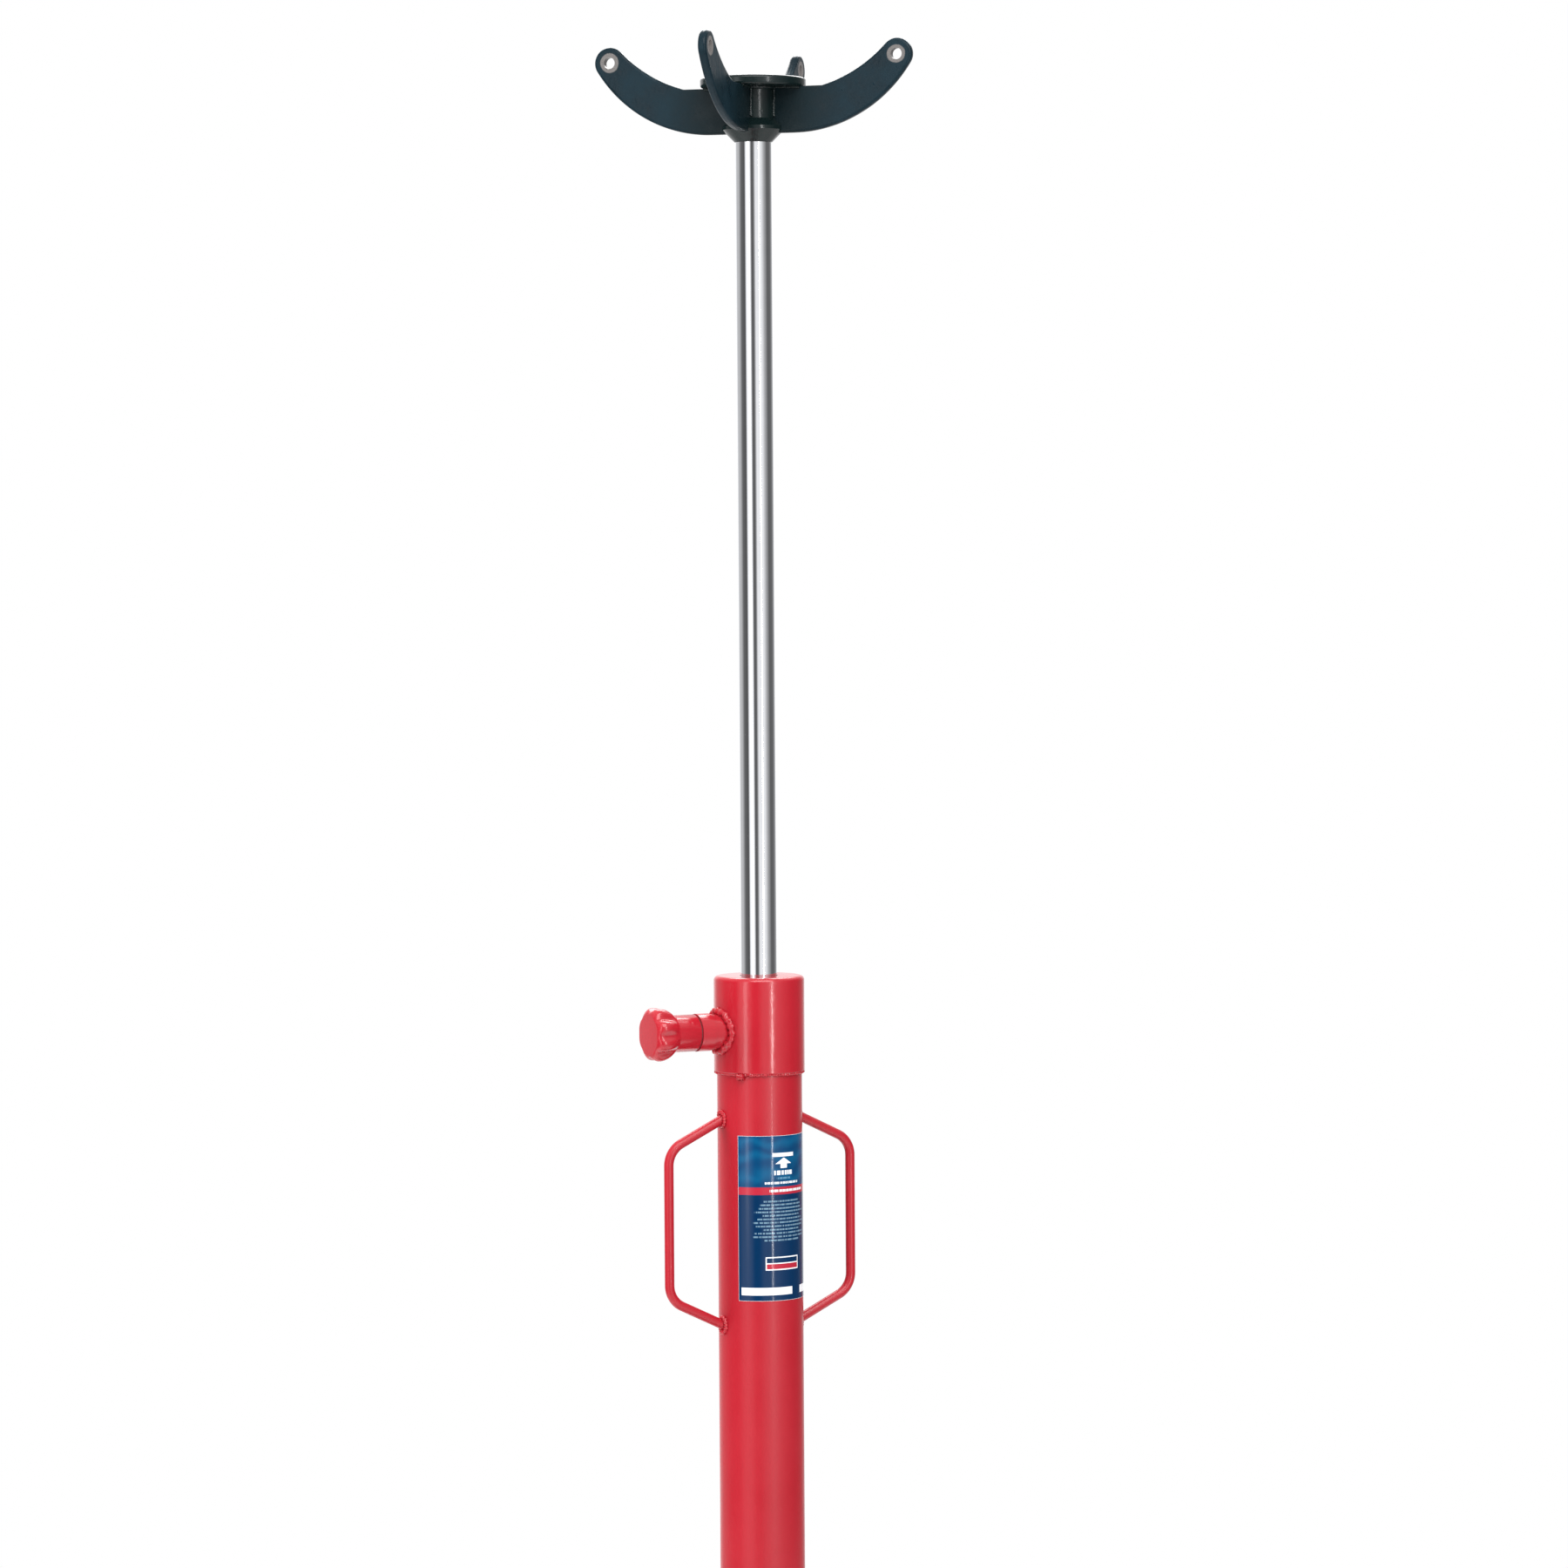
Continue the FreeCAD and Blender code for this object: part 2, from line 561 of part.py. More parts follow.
def make_filler():
    neck = turned_left("filler_neck", [
        ("collar_od / 2 - 4", "filler_bore / 2"),
        ("collar_od / 2 - 4", "filler_stub_od / 2"),
        ("filler_ring_start", "filler_stub_od / 2"),
        ("filler_ring_start", "filler_ring_od / 2"),
        ("filler_ring_end", "filler_ring_od / 2"),
        ("filler_ring_end", "filler_thread_od / 2"),
        ("filler_ring_end + 20", "filler_thread_od / 2"),
        ("filler_ring_end + 20", "filler_bore / 2"),
    ])
    wall = new_sketch(neck, "CollarRoom", "XY")
    circle(wall, "0", "0", "collar_od")
    pocket(wall, "CollarCope")
    spigot = new_sketch(neck, "Spigot", "YZ", "-(collar_od / 2 - 2)")
    circle(spigot, "0", "0", "filler_port_od")
    circle(spigot, "0", "0", "filler_bore")
    pad(spigot, "10", "SpigotRing", both_ways=True)
    turned_left("filler_washer", [
        ("filler_ring_end", "filler_cap_bore / 2"),
        ("filler_ring_end + filler_washer_thick", "filler_cap_bore / 2"),
        ("filler_ring_end + filler_washer_thick", "filler_washer_od / 2"),
        ("filler_ring_end", "filler_washer_od / 2"),
    ])
    cap = turned_left("filler_cap", [
        ("filler_ring_end + filler_washer_thick", "filler_cap_bore / 2"),
        ("filler_ring_end + 22", "filler_cap_bore / 2"),
        ("filler_ring_end + 22", "0"),
        ("filler_knob_end", "0"),
        ("filler_knob_end", "filler_knob_od / 2"),
        ("filler_knob_end - 7", "filler_knob_od / 2"),
        ("filler_knob_start", "filler_knob_back / 2"),
        ("filler_knob_start", "filler_cap_od / 2"),
        ("filler_ring_end + filler_washer_thick", "filler_cap_od / 2"),
    ])
    face = -size("filler_knob_end")
    round_edges(cap, "2", lambda edge: edge.BoundBox.XLength < 0.01
                and abs(edge.BoundBox.XMin - face) < 0.01)
    for number in range(8):
        flute = new_sketch(cap, f"Flute{number}", "YZ", "-filler_knob_end")
        turn = 45 * number
        circle(flute, f"filler_flute_reach * cos({turn})", f"filler_flute_reach * sin({turn})",
               "filler_flute_od")
        pocket(flute, f"FluteCut{number}", "filler_knob_end - filler_knob_start - 2", both_ways=False,
               reverse=True)


# Handles: bent rods welded to both sides of the column

def make_handle(label, turn):
    body = new_body(label)
    path = new_sketch(body, "Path", "XZ")
    slope = math.radians(size("handle_slope"))
    reach = size("handle_reach")
    bend = size("handle_bend")
    inner = size("column_od / 2 - 6")
    weld_x = size("column_od / 2")
    corner_z = size("handle_weld") - (reach - weld_x) * math.tan(slope)
    cut = bend * math.tan((math.pi / 2 - slope) / 2)
    low = FreeCAD.Vector(reach, 0, 0)
    bend_low = FreeCAD.Vector(reach, corner_z - cut, 0)
    along = FreeCAD.Vector(-math.cos(slope), math.sin(slope), 0)
    bend_high = FreeCAD.Vector(reach, corner_z, 0) + along * cut
    end = FreeCAD.Vector(inner, corner_z + (reach - inner) * math.tan(slope), 0)
    centre = FreeCAD.Vector(reach - bend, corner_z - cut, 0)
    upright = path.addGeometry(Part.LineSegment(low, bend_low))
    arc_circle = Part.Circle(centre, FreeCAD.Vector(0, 0, 1), bend)
    arc = path.addGeometry(Part.ArcOfCircle(arc_circle, 0, math.pi / 2 - slope))
    sloped = path.addGeometry(Part.LineSegment(bend_high, end))
    path.addConstraint(Sketcher.Constraint("Vertical", upright))
    path.addConstraint(Sketcher.Constraint("Tangent", upright, 2, arc, 1))
    path.addConstraint(Sketcher.Constraint("Tangent", arc, 2, sloped, 1))
    pin(path, upright, 1, "handle_reach", "0")
    dimension(path, "Radius", arc, "handle_bend")
    rise = "handle_weld + 6 * tan(handle_slope)"
    pin(path, sloped, 2, "column_od / 2 - 6", rise)
    dimension(path, "Angle", sloped, "180 - handle_slope")
    section = new_sketch(body, "Section", "XY")
    circle(section, "handle_reach", "0", "handle_rod")
    doc.recompute()
    pipe = body.newObject("PartDesign::AdditivePipe", "Rod")
    pipe.Profile = section
    pipe.Spine = (path, [])
    doc.recompute()
    mirror = body.newObject("PartDesign::Mirrored", "LowerHalf")
    mirror.Originals = [pipe]
    mirror.MirrorPlane = (origin_feature(body, "XY_Plane"), [""])
    body.Tip = mirror
    cope = new_sketch(body, "ColumnRoom", "XY")
    circle(cope, "0", "0", "column_od")
    pocket(cope, "Cope")
    place(body, z="handle_middle", turn=turn)


def make_label():
    """Printed sheet stuck round the front of the column."""
    body = new_body("rating_label")
    sketch = new_sketch(body, "Sector", "XY", "label_low")
    half = math.radians(size("label_half_angle"))
    up = FreeCAD.Vector(0, 0, 1)
    radii = ("column_od / 2", "column_od / 2 + label_thick")
    arcs = []
    for radius in radii:
        ring_circle = Part.Circle(FreeCAD.Vector(0, 0, 0), up, size(radius))
        arc = sketch.addGeometry(Part.ArcOfCircle(ring_circle, -half, half))
        sketch.addConstraint(Sketcher.Constraint("Coincident", arc, 3, ORIGIN, 1))
        dimension(sketch, "Radius", arc, radius)
        arcs.append(arc)
    for end, side in ((1, "-"), (2, "")):
        ends = [FreeCAD.Vector(size(r) * math.cos(half), (-1 if side else 1) * size(r) * math.sin(half), 0)
                for r in radii]
        edge = sketch.addGeometry(Part.LineSegment(*ends))
        sketch.addConstraint(Sketcher.Constraint("Coincident", edge, 1, arcs[0], end))
        sketch.addConstraint(Sketcher.Constraint("Coincident", edge, 2, arcs[1], end))
        for arc, radius in zip(arcs, radii):
            dimension(sketch, "DistanceY", ORIGIN, 1, arc, end, f"{side}({radius}) * sin(label_half_angle)")
    pad(sketch, "label_high - label_low")
    place(body, turn="label_turn")


# Base: foot block, four legs with foot plates, gussets and end caps

def make_foot_block():
    block = new_body("foot_block")
    sketch = new_sketch(block, "Plan", "XY", "block_low")
    half = "block_width / 2"
    outline(sketch, [
        (f"-{half} + 14", "-block_front"), (f"{half} - 14", "-block_front"), (half, "-block_front + 14"),
        (half, "block_back - 20"), (f"{half} - 20", "block_back"), (f"-{half} + 20", "block_back"),
        (f"-{half}", "block_back - 20"), (f"-{half}", "-block_front + 14"),
    ])
    pad(sketch, "column_foot - block_low")
    top = flat_at("column_foot")
    round_edges(block, "3", top, "Chamfer")
    seat = new_sketch(block, "CylinderSeat", "XY", "column_foot")
    circle(seat, "0", "0", "cylinder_od")
    pocket(seat, "Seat", "column_foot - cylinder_foot", both_ways=False)
    bore = new_sketch(block, "ReleaseBore", "XZ", "block_front")
    circle(bore, "release_x", "release_z", "release_od + 2 * running_gap")
    pocket(bore, "ReleaseHole", "40", both_ways=False)
    relief = new_sketch(block, "ReliefBore", "YZ", "-block_width / 2")
    circle(relief, "relief_y", "release_z", "relief_od")
    pocket(relief, "ReliefHole", "16", both_ways=False, reverse=True)


def make_leg(label, turn):
    """Rectangular tube coped to the column and welded round its end."""
    leg = new_body(label)
    tube = new_sketch(leg, "Tube", "YZ", "20")
    half = "leg_width / 2"
    rectangle(tube, f"-{half}", half, "leg_low", "leg_high")
    rectangle(tube, f"-{half} + leg_wall", f"{half} - leg_wall", "leg_low + leg_wall",
              "leg_high - leg_wall")
    pad(tube, "leg_end - 20")
    half_width = size(half)
    round_edges(leg, "4", lambda edge: edge.BoundBox.XLength > 300
                and abs(abs(edge.BoundBox.YMax) - half_width) < 0.01)
    cope = new_sketch(leg, "ColumnRoom", "XY")
    circle(cope, "0", "0", "column_od")
    pocket(cope, "Cope")
    place(leg, turn=turn)


def plate_on_leg(body, low, thick):
    """Rectangular plate centred on the swivel axis, with room for its four bolts."""
    sketch = new_sketch(body, "Plate", "XY", low, "castor_radius")
    rectangle(sketch, "-foot_plate_length / 2", "foot_plate_length / 2", "-foot_plate_width / 2",
              "foot_plate_width / 2")
    for along, across in BOLT_PLACES:
        circle(sketch, along, across, "bolt_od + 0.6")
    return pad(sketch, thick, "PlatePad")


def make_leg_fittings():
    plates = new_body("foot_plates", several=True)
    repeat_round(plates, [plate_on_leg(plates, "leg_low - foot_plate_thick", "foot_plate_thick")], 4)
    place(plates, turn="45")
    gussets = new_body("leg_gussets", several=True)
    web = new_sketch(gussets, "Web", "XZ")
    outline(web, [("column_od / 2", "leg_high"), ("115", "leg_high"), ("115", "leg_high + 8"),
                  ("column_od / 2 + 8", "leg_high + 70"), ("column_od / 2", "leg_high + 70")])
    repeat_round(gussets, [pad(web, "6", both_ways=True)], 4)
    place(gussets, turn="45")
    caps = new_body("leg_end_caps", several=True)
    cap = new_sketch(caps, "Cap", "YZ", "leg_end")
    rectangle(cap, "-leg_width / 2", "leg_width / 2", "leg_low", "leg_high")
    face = pad(cap, "3", "Face")
    plug = new_sketch(caps, "Plug", "YZ", "leg_end - 10")
    rectangle(plug, "-leg_width / 2 + leg_wall", "leg_width / 2 - leg_wall", "leg_low + leg_wall",
              "leg_high - leg_wall")
    repeat_round(caps, [face, pad(plug, "10", "PlugPad")], 4)
    place(caps, turn="45")


# Castors: bolted top plate with its kingpin, ball race, pressed fork, axle bolt and wheel

def make_castor_tops():
    """Four top plates, each with a race ring and a riveted kingpin, and the race balls."""
    plates = new_body("castor_plates", several=True)
    plate = plate_on_leg(plates, "castor_plate_low", "4")
    section = new_sketch(plates, "RaceSection", "XZ", shift="castor_radius")
    race_face = "race_height + 1.5"
    outline(section, [
        ("0", "crown_low - 6.5"),
        ("10", "crown_low - 6.5"),
        ("11", "crown_low - free_gap"),
        ("kingpin_od / 2", "crown_low - free_gap"),
        ("kingpin_od / 2", race_face),
        ("race_radius - race_half", race_face),
        ("race_radius - race_floor", "race_height + 3.4"),
        ("race_radius + race_floor", "race_height + 3.4"),
        ("race_radius + race_half", race_face),
        ("race_radius + 7", race_face),
        ("race_radius + 7", "castor_plate_low + 1"),
        ("0", "castor_plate_low + 1"),
    ])
    race = revolve(section, "Race")
    repeat_round(plates, [plate, race], 4)
    place(plates, turn="45")
    balls = doc.addObject("Part::Feature", "castor_balls")
    balls.Label = "castor_balls"
    radius = size("race_radius")
    up = FreeCAD.Vector(0, 0, 1)
    leg = FreeCAD.Vector(size("castor_radius"), 0, 0)
    spheres = []
    for turn in QUARTER_TURNS.values():
        swivel = FreeCAD.Rotation(up, turn).multVec(leg)
        for number in range(BALLS_PER_RACE):
            angle = 2 * math.pi * number / BALLS_PER_RACE
            spot = FreeCAD.Vector(radius * math.cos(angle), radius * math.sin(angle), size("race_height"))
            spheres.append(Part.makeSphere(size("ball_od / 2"), swivel + spot))
    balls.Shape = Part.makeCompound(spheres)
    sub_parts.append(balls)


def make_castor_bolts():
    """Hexagon bolts down through foot plate and castor plate, with their nuts run home."""
    bolts = new_body("castor_bolts", several=True)
    shanks = new_sketch(bolts, "Shanks", "XY", "castor_plate_low - 9", "castor_radius")
    heads = new_sketch(bolts, "Heads", "XY", "leg_low", "castor_radius")
    nuts = new_sketch(bolts, "Nuts", "XY", "castor_plate_low - bolt_nut", "castor_radius")
    for along, across in BOLT_PLACES:
        circle(shanks, along, across, "bolt_od")
        hexagon(heads, along, across, "bolt_flats")
        hexagon(nuts, along, across, "bolt_flats")
    shank = pad(shanks, "leg_low - castor_plate_low + 10", "ShankPad")
    head = pad(heads, "bolt_head", "HeadPad")
    nut = pad(nuts, "bolt_nut", "NutPad")
    repeat_round(bolts, [shank, head, nut], 4)
    place(bolts, turn="45")


def place_castor(item, out, up, turn):
    place(item, f"({out}) * cos({turn})", f"({out}) * sin({turn})", up, str(turn))


def make_castor(corner, turn):
    """Fork, axle bolt and wheel of one castor, trailing outwards."""
    fork = new_body(f"castor_fork_{corner}")
    side = new_sketch(fork, "Cheek", "XZ")
    outline(side, [
        ("-19", "crown_high"), ("24", "crown_high"), ("31", "crown_low - 8"), ("castor_trail + 13", "41"),
        ("castor_trail + 9", "28"), ("castor_trail - 8", "28"), ("castor_trail - 14", "37"), ("-19", "78"),
    ])
    pad(side, "fork_inside + 2 * fork_wall", "Cheeks", both_ways=True)
    crown = new_sketch(fork, "Crown", "XY", "crown_low")
    circle(crown, "0", "0", "54")
    pad(crown, "crown_high - crown_low", "CrownPad")
    channel = new_sketch(fork, "WheelRoom", "YZ")
    rectangle(channel, "-fork_inside / 2", "fork_inside / 2", "20", "crown_low")
    pocket(channel, "Channel")
    groove = new_sketch(fork, "RaceGroove", "XZ")
    outline(groove, [
        ("race_radius - race_half", "crown_high"),
        ("race_radius - race_floor", "crown_high - 1.9"),
        ("race_radius + race_floor", "crown_high - 1.9"),
        ("race_radius + race_half", "crown_high"),
        ("race_radius + race_half", "crown_high + 1"),
        ("race_radius - race_half", "crown_high + 1"),
    ])
    revolve(groove, "Race", removes=True)
    kingpin = new_sketch(fork, "KingpinBore", "XY", "crown_low")
    circle(kingpin, "0", "0", "kingpin_od + 2 * running_gap")
    pocket(kingpin, "KingpinHole")
    axle_bore = new_sketch(fork, "AxleBore", "XZ")
    circle(axle_bore, "castor_trail", "wheel_od / 2", "bolt_od + 0.1")
    pocket(axle_bore, "AxleHole")
    place_castor(fork, "castor_radius", "0", turn)

    axle = new_body(f"castor_axle_{corner}")
    half = "(fork_inside / 2 + fork_wall)"
    shank = new_sketch(axle, "Shank", "XZ", f"-{half} - 9")
    circle(shank, "0", "0", "bolt_od")
    pad(shank, f"2 * {half} + 9", "ShankPad")
    head = new_sketch(axle, "Head", "XZ", half)
    hexagon(head, "0", "0", "bolt_flats")
    pad(head, "bolt_head", "HeadPad")
    nut = new_sketch(axle, "Nut", "XZ", f"-{half} - bolt_nut")
    hexagon(nut, "0", "0", "bolt_flats")
    pad(nut, "bolt_nut", "NutPad")
    place_castor(axle, "castor_radius + castor_trail", "wheel_od / 2", turn)

    hub = "fork_inside / 2 - free_gap"
    bore = "bolt_od / 2 + running_gap"
    wheel = turned(f"castor_wheel_{corner}", [
        (f"-({hub})", bore), (hub, bore), (hub, "hub_radius"), ("5", "hub_radius"),
        ("4", "rim_radius - 1.5"), ("wheel_width / 2", "rim_radius"),
        ("wheel_width / 2", "wheel_od / 2 - 2.5"), ("wheel_width / 2 - 3", "wheel_od / 2"),
        ("-wheel_width / 2 + 3", "wheel_od / 2"), ("-wheel_width / 2", "wheel_od / 2 - 2.5"),
        ("-wheel_width / 2", "rim_radius"), ("-4", "rim_radius - 1.5"), ("-5", "hub_radius"),
        (f"-({hub})", "hub_radius"),
    ], plane="YZ", axis="H_Axis")
    place_castor(wheel, "castor_radius + castor_trail", "wheel_od / 2", turn)


# Foot pump: barrel, plunger with its return spring, and the pedal that presses it

def make_pump():
    barrel = turned("pump_barrel", [
        ("0", "column_foot"), ("barrel_od / 2", "column_foot"),
        ("barrel_od / 2", "barrel_top - gland_high - 4"),
        ("barrel_od / 2 - 3", "barrel_top - gland_high - 2"),
        ("barrel_od / 2 - 3", "barrel_top - gland_high"), ("0", "barrel_top - gland_high"),
    ])
    gland = new_sketch(barrel, "GlandNut", "XY", "barrel_top - gland_high")
    hexagon(gland, "0", "0", "34")
    pad(gland, "gland_high", "GlandPad")
    bore = new_sketch(barrel, "PlungerBore", "XY", "barrel_top")
    circle(bore, "0", "0", "plunger_od + 2 * running_gap")
    pocket(bore, "Bore", "55", both_ways=False)
    place(barrel, y="pump_y")
    plunger = turned("pump_plunger", [
        ("0", "barrel_top - 37"), ("plunger_od / 2", "barrel_top - 37"),
        ("plunger_od / 2", "plunger_top - plunger_cap"), ("plunger_cap_od / 2", "plunger_top - plunger_cap"),
        ("plunger_cap_od / 2", "plunger_top - 1"), ("plunger_cap_od / 2 - 1", "plunger_top"),
        ("0", "plunger_top"),
    ])
    place(plunger, y="pump_y")
    spring = new_body("pump_spring")
    wire = new_sketch(spring, "Wire", "XZ")
    circle(wire, "spring_radius", "barrel_top + spring_wire / 2 + 0.1", "spring_wire")
    settings = {"ReferenceAxis": (wire, ["V_Axis"]), "Mode": "height-turns-growth", "Turns": 8.5}
    coil_height = "plunger_top - plunger_cap - barrel_top - spring_wire - 0.5"
    feature("AdditiveHelix", "Coil", wire, settings, {"Height": coil_height})
    place(spring, y="pump_y")


def make_pedal():
    bracket = new_body("pedal_bracket", several=True)
    for number, inner in enumerate(("-bracket_outside", "bracket_inside")):
        cheek = new_sketch(bracket, f"Cheek{number}", "YZ", inner)
        outline(cheek, [("-30", "165"), ("-50", "165"), ("-71", "190"), ("-71", "207"), ("-63", "214"),
                        ("-30", "214")])
        pad(cheek, "bracket_outside - bracket_inside", f"CheekPad{number}")
    cope = new_sketch(bracket, "ColumnRoom", "XY", "pivot_z")
    circle(cope, "0", "0", "column_od")
    pocket(cope, "Cope")
    hole = new_sketch(bracket, "PinHole", "YZ")
    circle(hole, "pivot_y", "pivot_z", "pedal_pin_od")
    pocket(hole, "PinBore")
    shaft = turned("pedal_pin", [
        ("-32", "0"), ("32", "0"), ("32", "8"), ("31", "9"), ("bracket_outside", "9"),
        ("bracket_outside", "pedal_pin_od / 2"), ("-bracket_outside", "pedal_pin_od / 2"),
        ("-bracket_outside", "9"), ("-31", "9"), ("-32", "8"),
    ], axis="H_Axis")
    place(shaft, y="pivot_y", z="pivot_z")

    lever = new_body("pedal_lever")
    hub = new_sketch(lever, "Hub", "XZ")
    rectangle(hub, "-bracket_inside + free_gap", "bracket_inside - free_gap",
              "pedal_pin_od / 2 + running_gap", "12")
    revolve(hub, "HubTube", axis="H_Axis")
    for number, inner in enumerate(("-lever_side - lever_thick", "lever_side")):
        side = new_sketch(lever, f"Side{number}", "YZ", inner)
        outline(side, [("2", "-11"), ("2", "11"), ("-60", "11"), ("-pedal_length", "10"),
                       ("-pedal_length", "-6"), ("-60", "-11")])
        pad(side, "lever_thick", f"SidePad{number}")
    tie = new_sketch(lever, "Tie", "YZ")
    circle(tie, "-110", "0", "12")
    pad(tie, "28", "TieBar", both_ways=True)
    step = new_sketch(lever, "Step", "YZ")
    rectangle(step, "-pedal_length - 4", "-pedal_length + 54", "step_low", "step_high")
    pad(step, "84", "StepPlate", both_ways=True)
    bore = new_sketch(lever, "PinBore", "YZ")
    circle(bore, "0", "0", "pedal_pin_od + 2 * running_gap")
    pocket(bore, "PinHole")
    roller_hole = new_sketch(lever, "RollerHole", "YZ")
    circle(roller_hole, "-roller_arm", "0", "8")
    pocket(roller_hole, "RollerBore")
    place(lever, y="pivot_y", z="pivot_z", turn="-pedal_rise", about=(1, 0, 0))

    tread = new_body("pedal_tread")
    pad_sketch = new_sketch(tread, "Pad", "YZ")
    rectangle(pad_sketch, "-pedal_length - 6", "-pedal_length + 56", "step_high", "tread_high")
    pad(pad_sketch, "88", "PadBlock", both_ways=True)
    round_edges(tread, "2.5", flat_at("tread_high"))
    place(tread, y="pivot_y", z="pivot_z", turn="-pedal_rise", about=(1, 0, 0))

    roller = turned("pedal_roller", [
        ("-21", "0"), ("21", "0"), ("21", "4"), ("13.2", "4"), ("13.2", "6"), ("-13.2", "6"), ("-13.2", "4"),
        ("-21", "4"),
    ], axis="H_Axis")
    place(roller, y="pivot_y - roller_arm * cos(pedal_rise)", z="pivot_z + roller_arm * sin(pedal_rise)")


# Release valve: spindle in the foot block, its gland, its pedal, and the relief plug

def make_release():
    gland = new_body("release_gland")
    nut = new_sketch(gland, "Nut", "XZ", "block_front")
    hexagon(nut, "release_x", "release_z", "24")
    circle(nut, "release_x", "release_z", "release_od + 2 * running_gap")
    pad(nut, "9")
    spindle = turned("release_spindle", [
        ("-block_front - 34", "0"), ("-block_front - 34", "release_od / 2 - 1"),
        ("-block_front - 33", "release_od / 2"), ("-block_front + 30", "release_od / 2"),
        ("-block_front + 36", "2"), ("-block_front + 36", "0"),
    ], plane="YZ", axis="H_Axis")
    place(spindle, x="release_x", z="release_z")
    pedal = new_body("release_pedal")
    hub = new_sketch(pedal, "Hub", "XZ", "block_front + 16")
    circle(hub, "0", "0", "28")
    pad(hub, "16", "HubPad")
    arm = new_sketch(pedal, "Arm", "XZ", "block_front + 20")
    outline(arm, [("4", "-9"), ("release_length", "-5"), ("release_length", "3"), ("4", "9")])
    pad(arm, "8", "ArmPad")
    step = new_sketch(pedal, "Step", "XZ", "block_front + 12")
    rectangle(step, "release_length - 36", "release_length + 2", "2", "7")
    pad(step, "42", "StepPad")
    bore = new_sketch(pedal, "Bore", "XZ")
    circle(bore, "0", "0", "release_od")
    pocket(bore, "SpindleHole")
    place(pedal, x="release_x", z="release_z", turn="-release_rise", about=(0, 1, 0))
    plug = new_body("relief_screw")
    shank = new_sketch(plug, "Shank", "YZ", "-block_width / 2")
    circle(shank, "relief_y", "release_z", "relief_od")
    pad(shank, "15", "ShankPad")
    head = new_sketch(plug, "Head", "YZ", "-block_width / 2 - 7")
    hexagon(head, "relief_y", "release_z", "17")
    pad(head, "7", "HeadPad")


make_column()
make_ram()
make_saddle()
make_filler()
make_handle("handle_right", "0")
make_handle("handle_left", "180")
make_label()
make_foot_block()
for corner, degrees in QUARTER_TURNS.items():
    make_leg(f"leg_{corner}", str(degrees))
    make_castor(corner, degrees)
make_leg_fittings()
make_castor_tops()
make_castor_bolts()
make_pump()
make_pedal()
make_release()
doc.recompute()

for item in doc.Objects:
    if "Invalid" in item.State or "Error" in item.State:
        raise RuntimeError(f"{item.Label} did not build: {item.State}")
for item in sub_parts:
    if item.Shape.isNull() or not item.Shape.isValid():
        raise RuntimeError(f"{item.Label} has no valid shape")
os.makedirs("parts", exist_ok=True)
for item in sub_parts:
    item.Shape.exportStep(f"parts/{item.Label}.step")
print(len(sub_parts), "sub-parts written")
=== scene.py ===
"""Looks of a single-ram transmission jack, built in the order in which the jack is put together."""

import math
from functools import partial

import bmesh
import bpy
from mathutils import Matrix, Vector


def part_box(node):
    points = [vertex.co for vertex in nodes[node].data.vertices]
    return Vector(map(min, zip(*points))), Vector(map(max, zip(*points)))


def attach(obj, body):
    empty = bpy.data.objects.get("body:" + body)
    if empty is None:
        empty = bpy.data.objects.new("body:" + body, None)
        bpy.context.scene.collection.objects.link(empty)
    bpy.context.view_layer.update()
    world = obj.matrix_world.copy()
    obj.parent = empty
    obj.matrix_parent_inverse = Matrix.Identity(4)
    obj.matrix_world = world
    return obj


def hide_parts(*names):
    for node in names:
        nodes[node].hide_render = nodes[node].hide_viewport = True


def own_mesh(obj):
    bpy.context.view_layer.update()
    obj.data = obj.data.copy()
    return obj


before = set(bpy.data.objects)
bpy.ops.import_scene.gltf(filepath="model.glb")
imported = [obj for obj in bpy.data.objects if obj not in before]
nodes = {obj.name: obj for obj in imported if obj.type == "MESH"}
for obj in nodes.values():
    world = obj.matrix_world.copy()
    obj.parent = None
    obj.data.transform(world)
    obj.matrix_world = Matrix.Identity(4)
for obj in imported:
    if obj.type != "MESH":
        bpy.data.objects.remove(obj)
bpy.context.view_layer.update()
scene = bpy.context.scene

# Studio: the jack stands on a pale round floor that fades out into a white room. The room has bright
# and dark bands all round it, which is what a polished ram shows, and soft lights stand to the right,
# to the left, above and behind.
VIEW_AZIMUTH = math.radians(-27.5)
CAMERA_ROLL = math.radians(-0.37)
CAMERA_HEIGHT, CAMERA_DISTANCE = 1.456, 5.73
AIM_ASIDE, AIM_HEIGHT = 0.0276, 1.215
to_camera = Vector((math.sin(VIEW_AZIMUTH), -math.cos(VIEW_AZIMUTH), 0))
to_right = Vector((-to_camera.y, to_camera.x, 0))
aim = to_right * AIM_ASIDE + Vector((0, 0, AIM_HEIGHT))

camera_data = bpy.data.cameras.new("camera")
camera_data.lens = 126
camera_data.sensor_width = 36
camera = bpy.data.objects.new("camera", camera_data)
camera.location = to_camera * CAMERA_DISTANCE + Vector((0, 0, CAMERA_HEIGHT))
look = (aim - camera.location).to_track_quat("-Z", "Y").to_matrix().to_4x4()
camera.matrix_world = Matrix.Translation(camera.location) @ look @ Matrix.Rotation(CAMERA_ROLL, 4, "Z")
scene.collection.objects.link(camera)
scene.camera = camera
scene.view_settings.view_transform = "Standard"


def add_node(tree, kind, inputs=None, **settings):
    """New node with its settings; each input takes a value or another node's output."""
    node = tree.nodes.new(kind)
    for setting, choice in settings.items():
        setattr(node, setting, choice)
    for socket, amount in (inputs or {}).items():
        if isinstance(amount, bpy.types.NodeSocket):
            tree.links.new(amount, node.inputs[socket])
        else:
            node.inputs[socket].default_value = amount
    return node


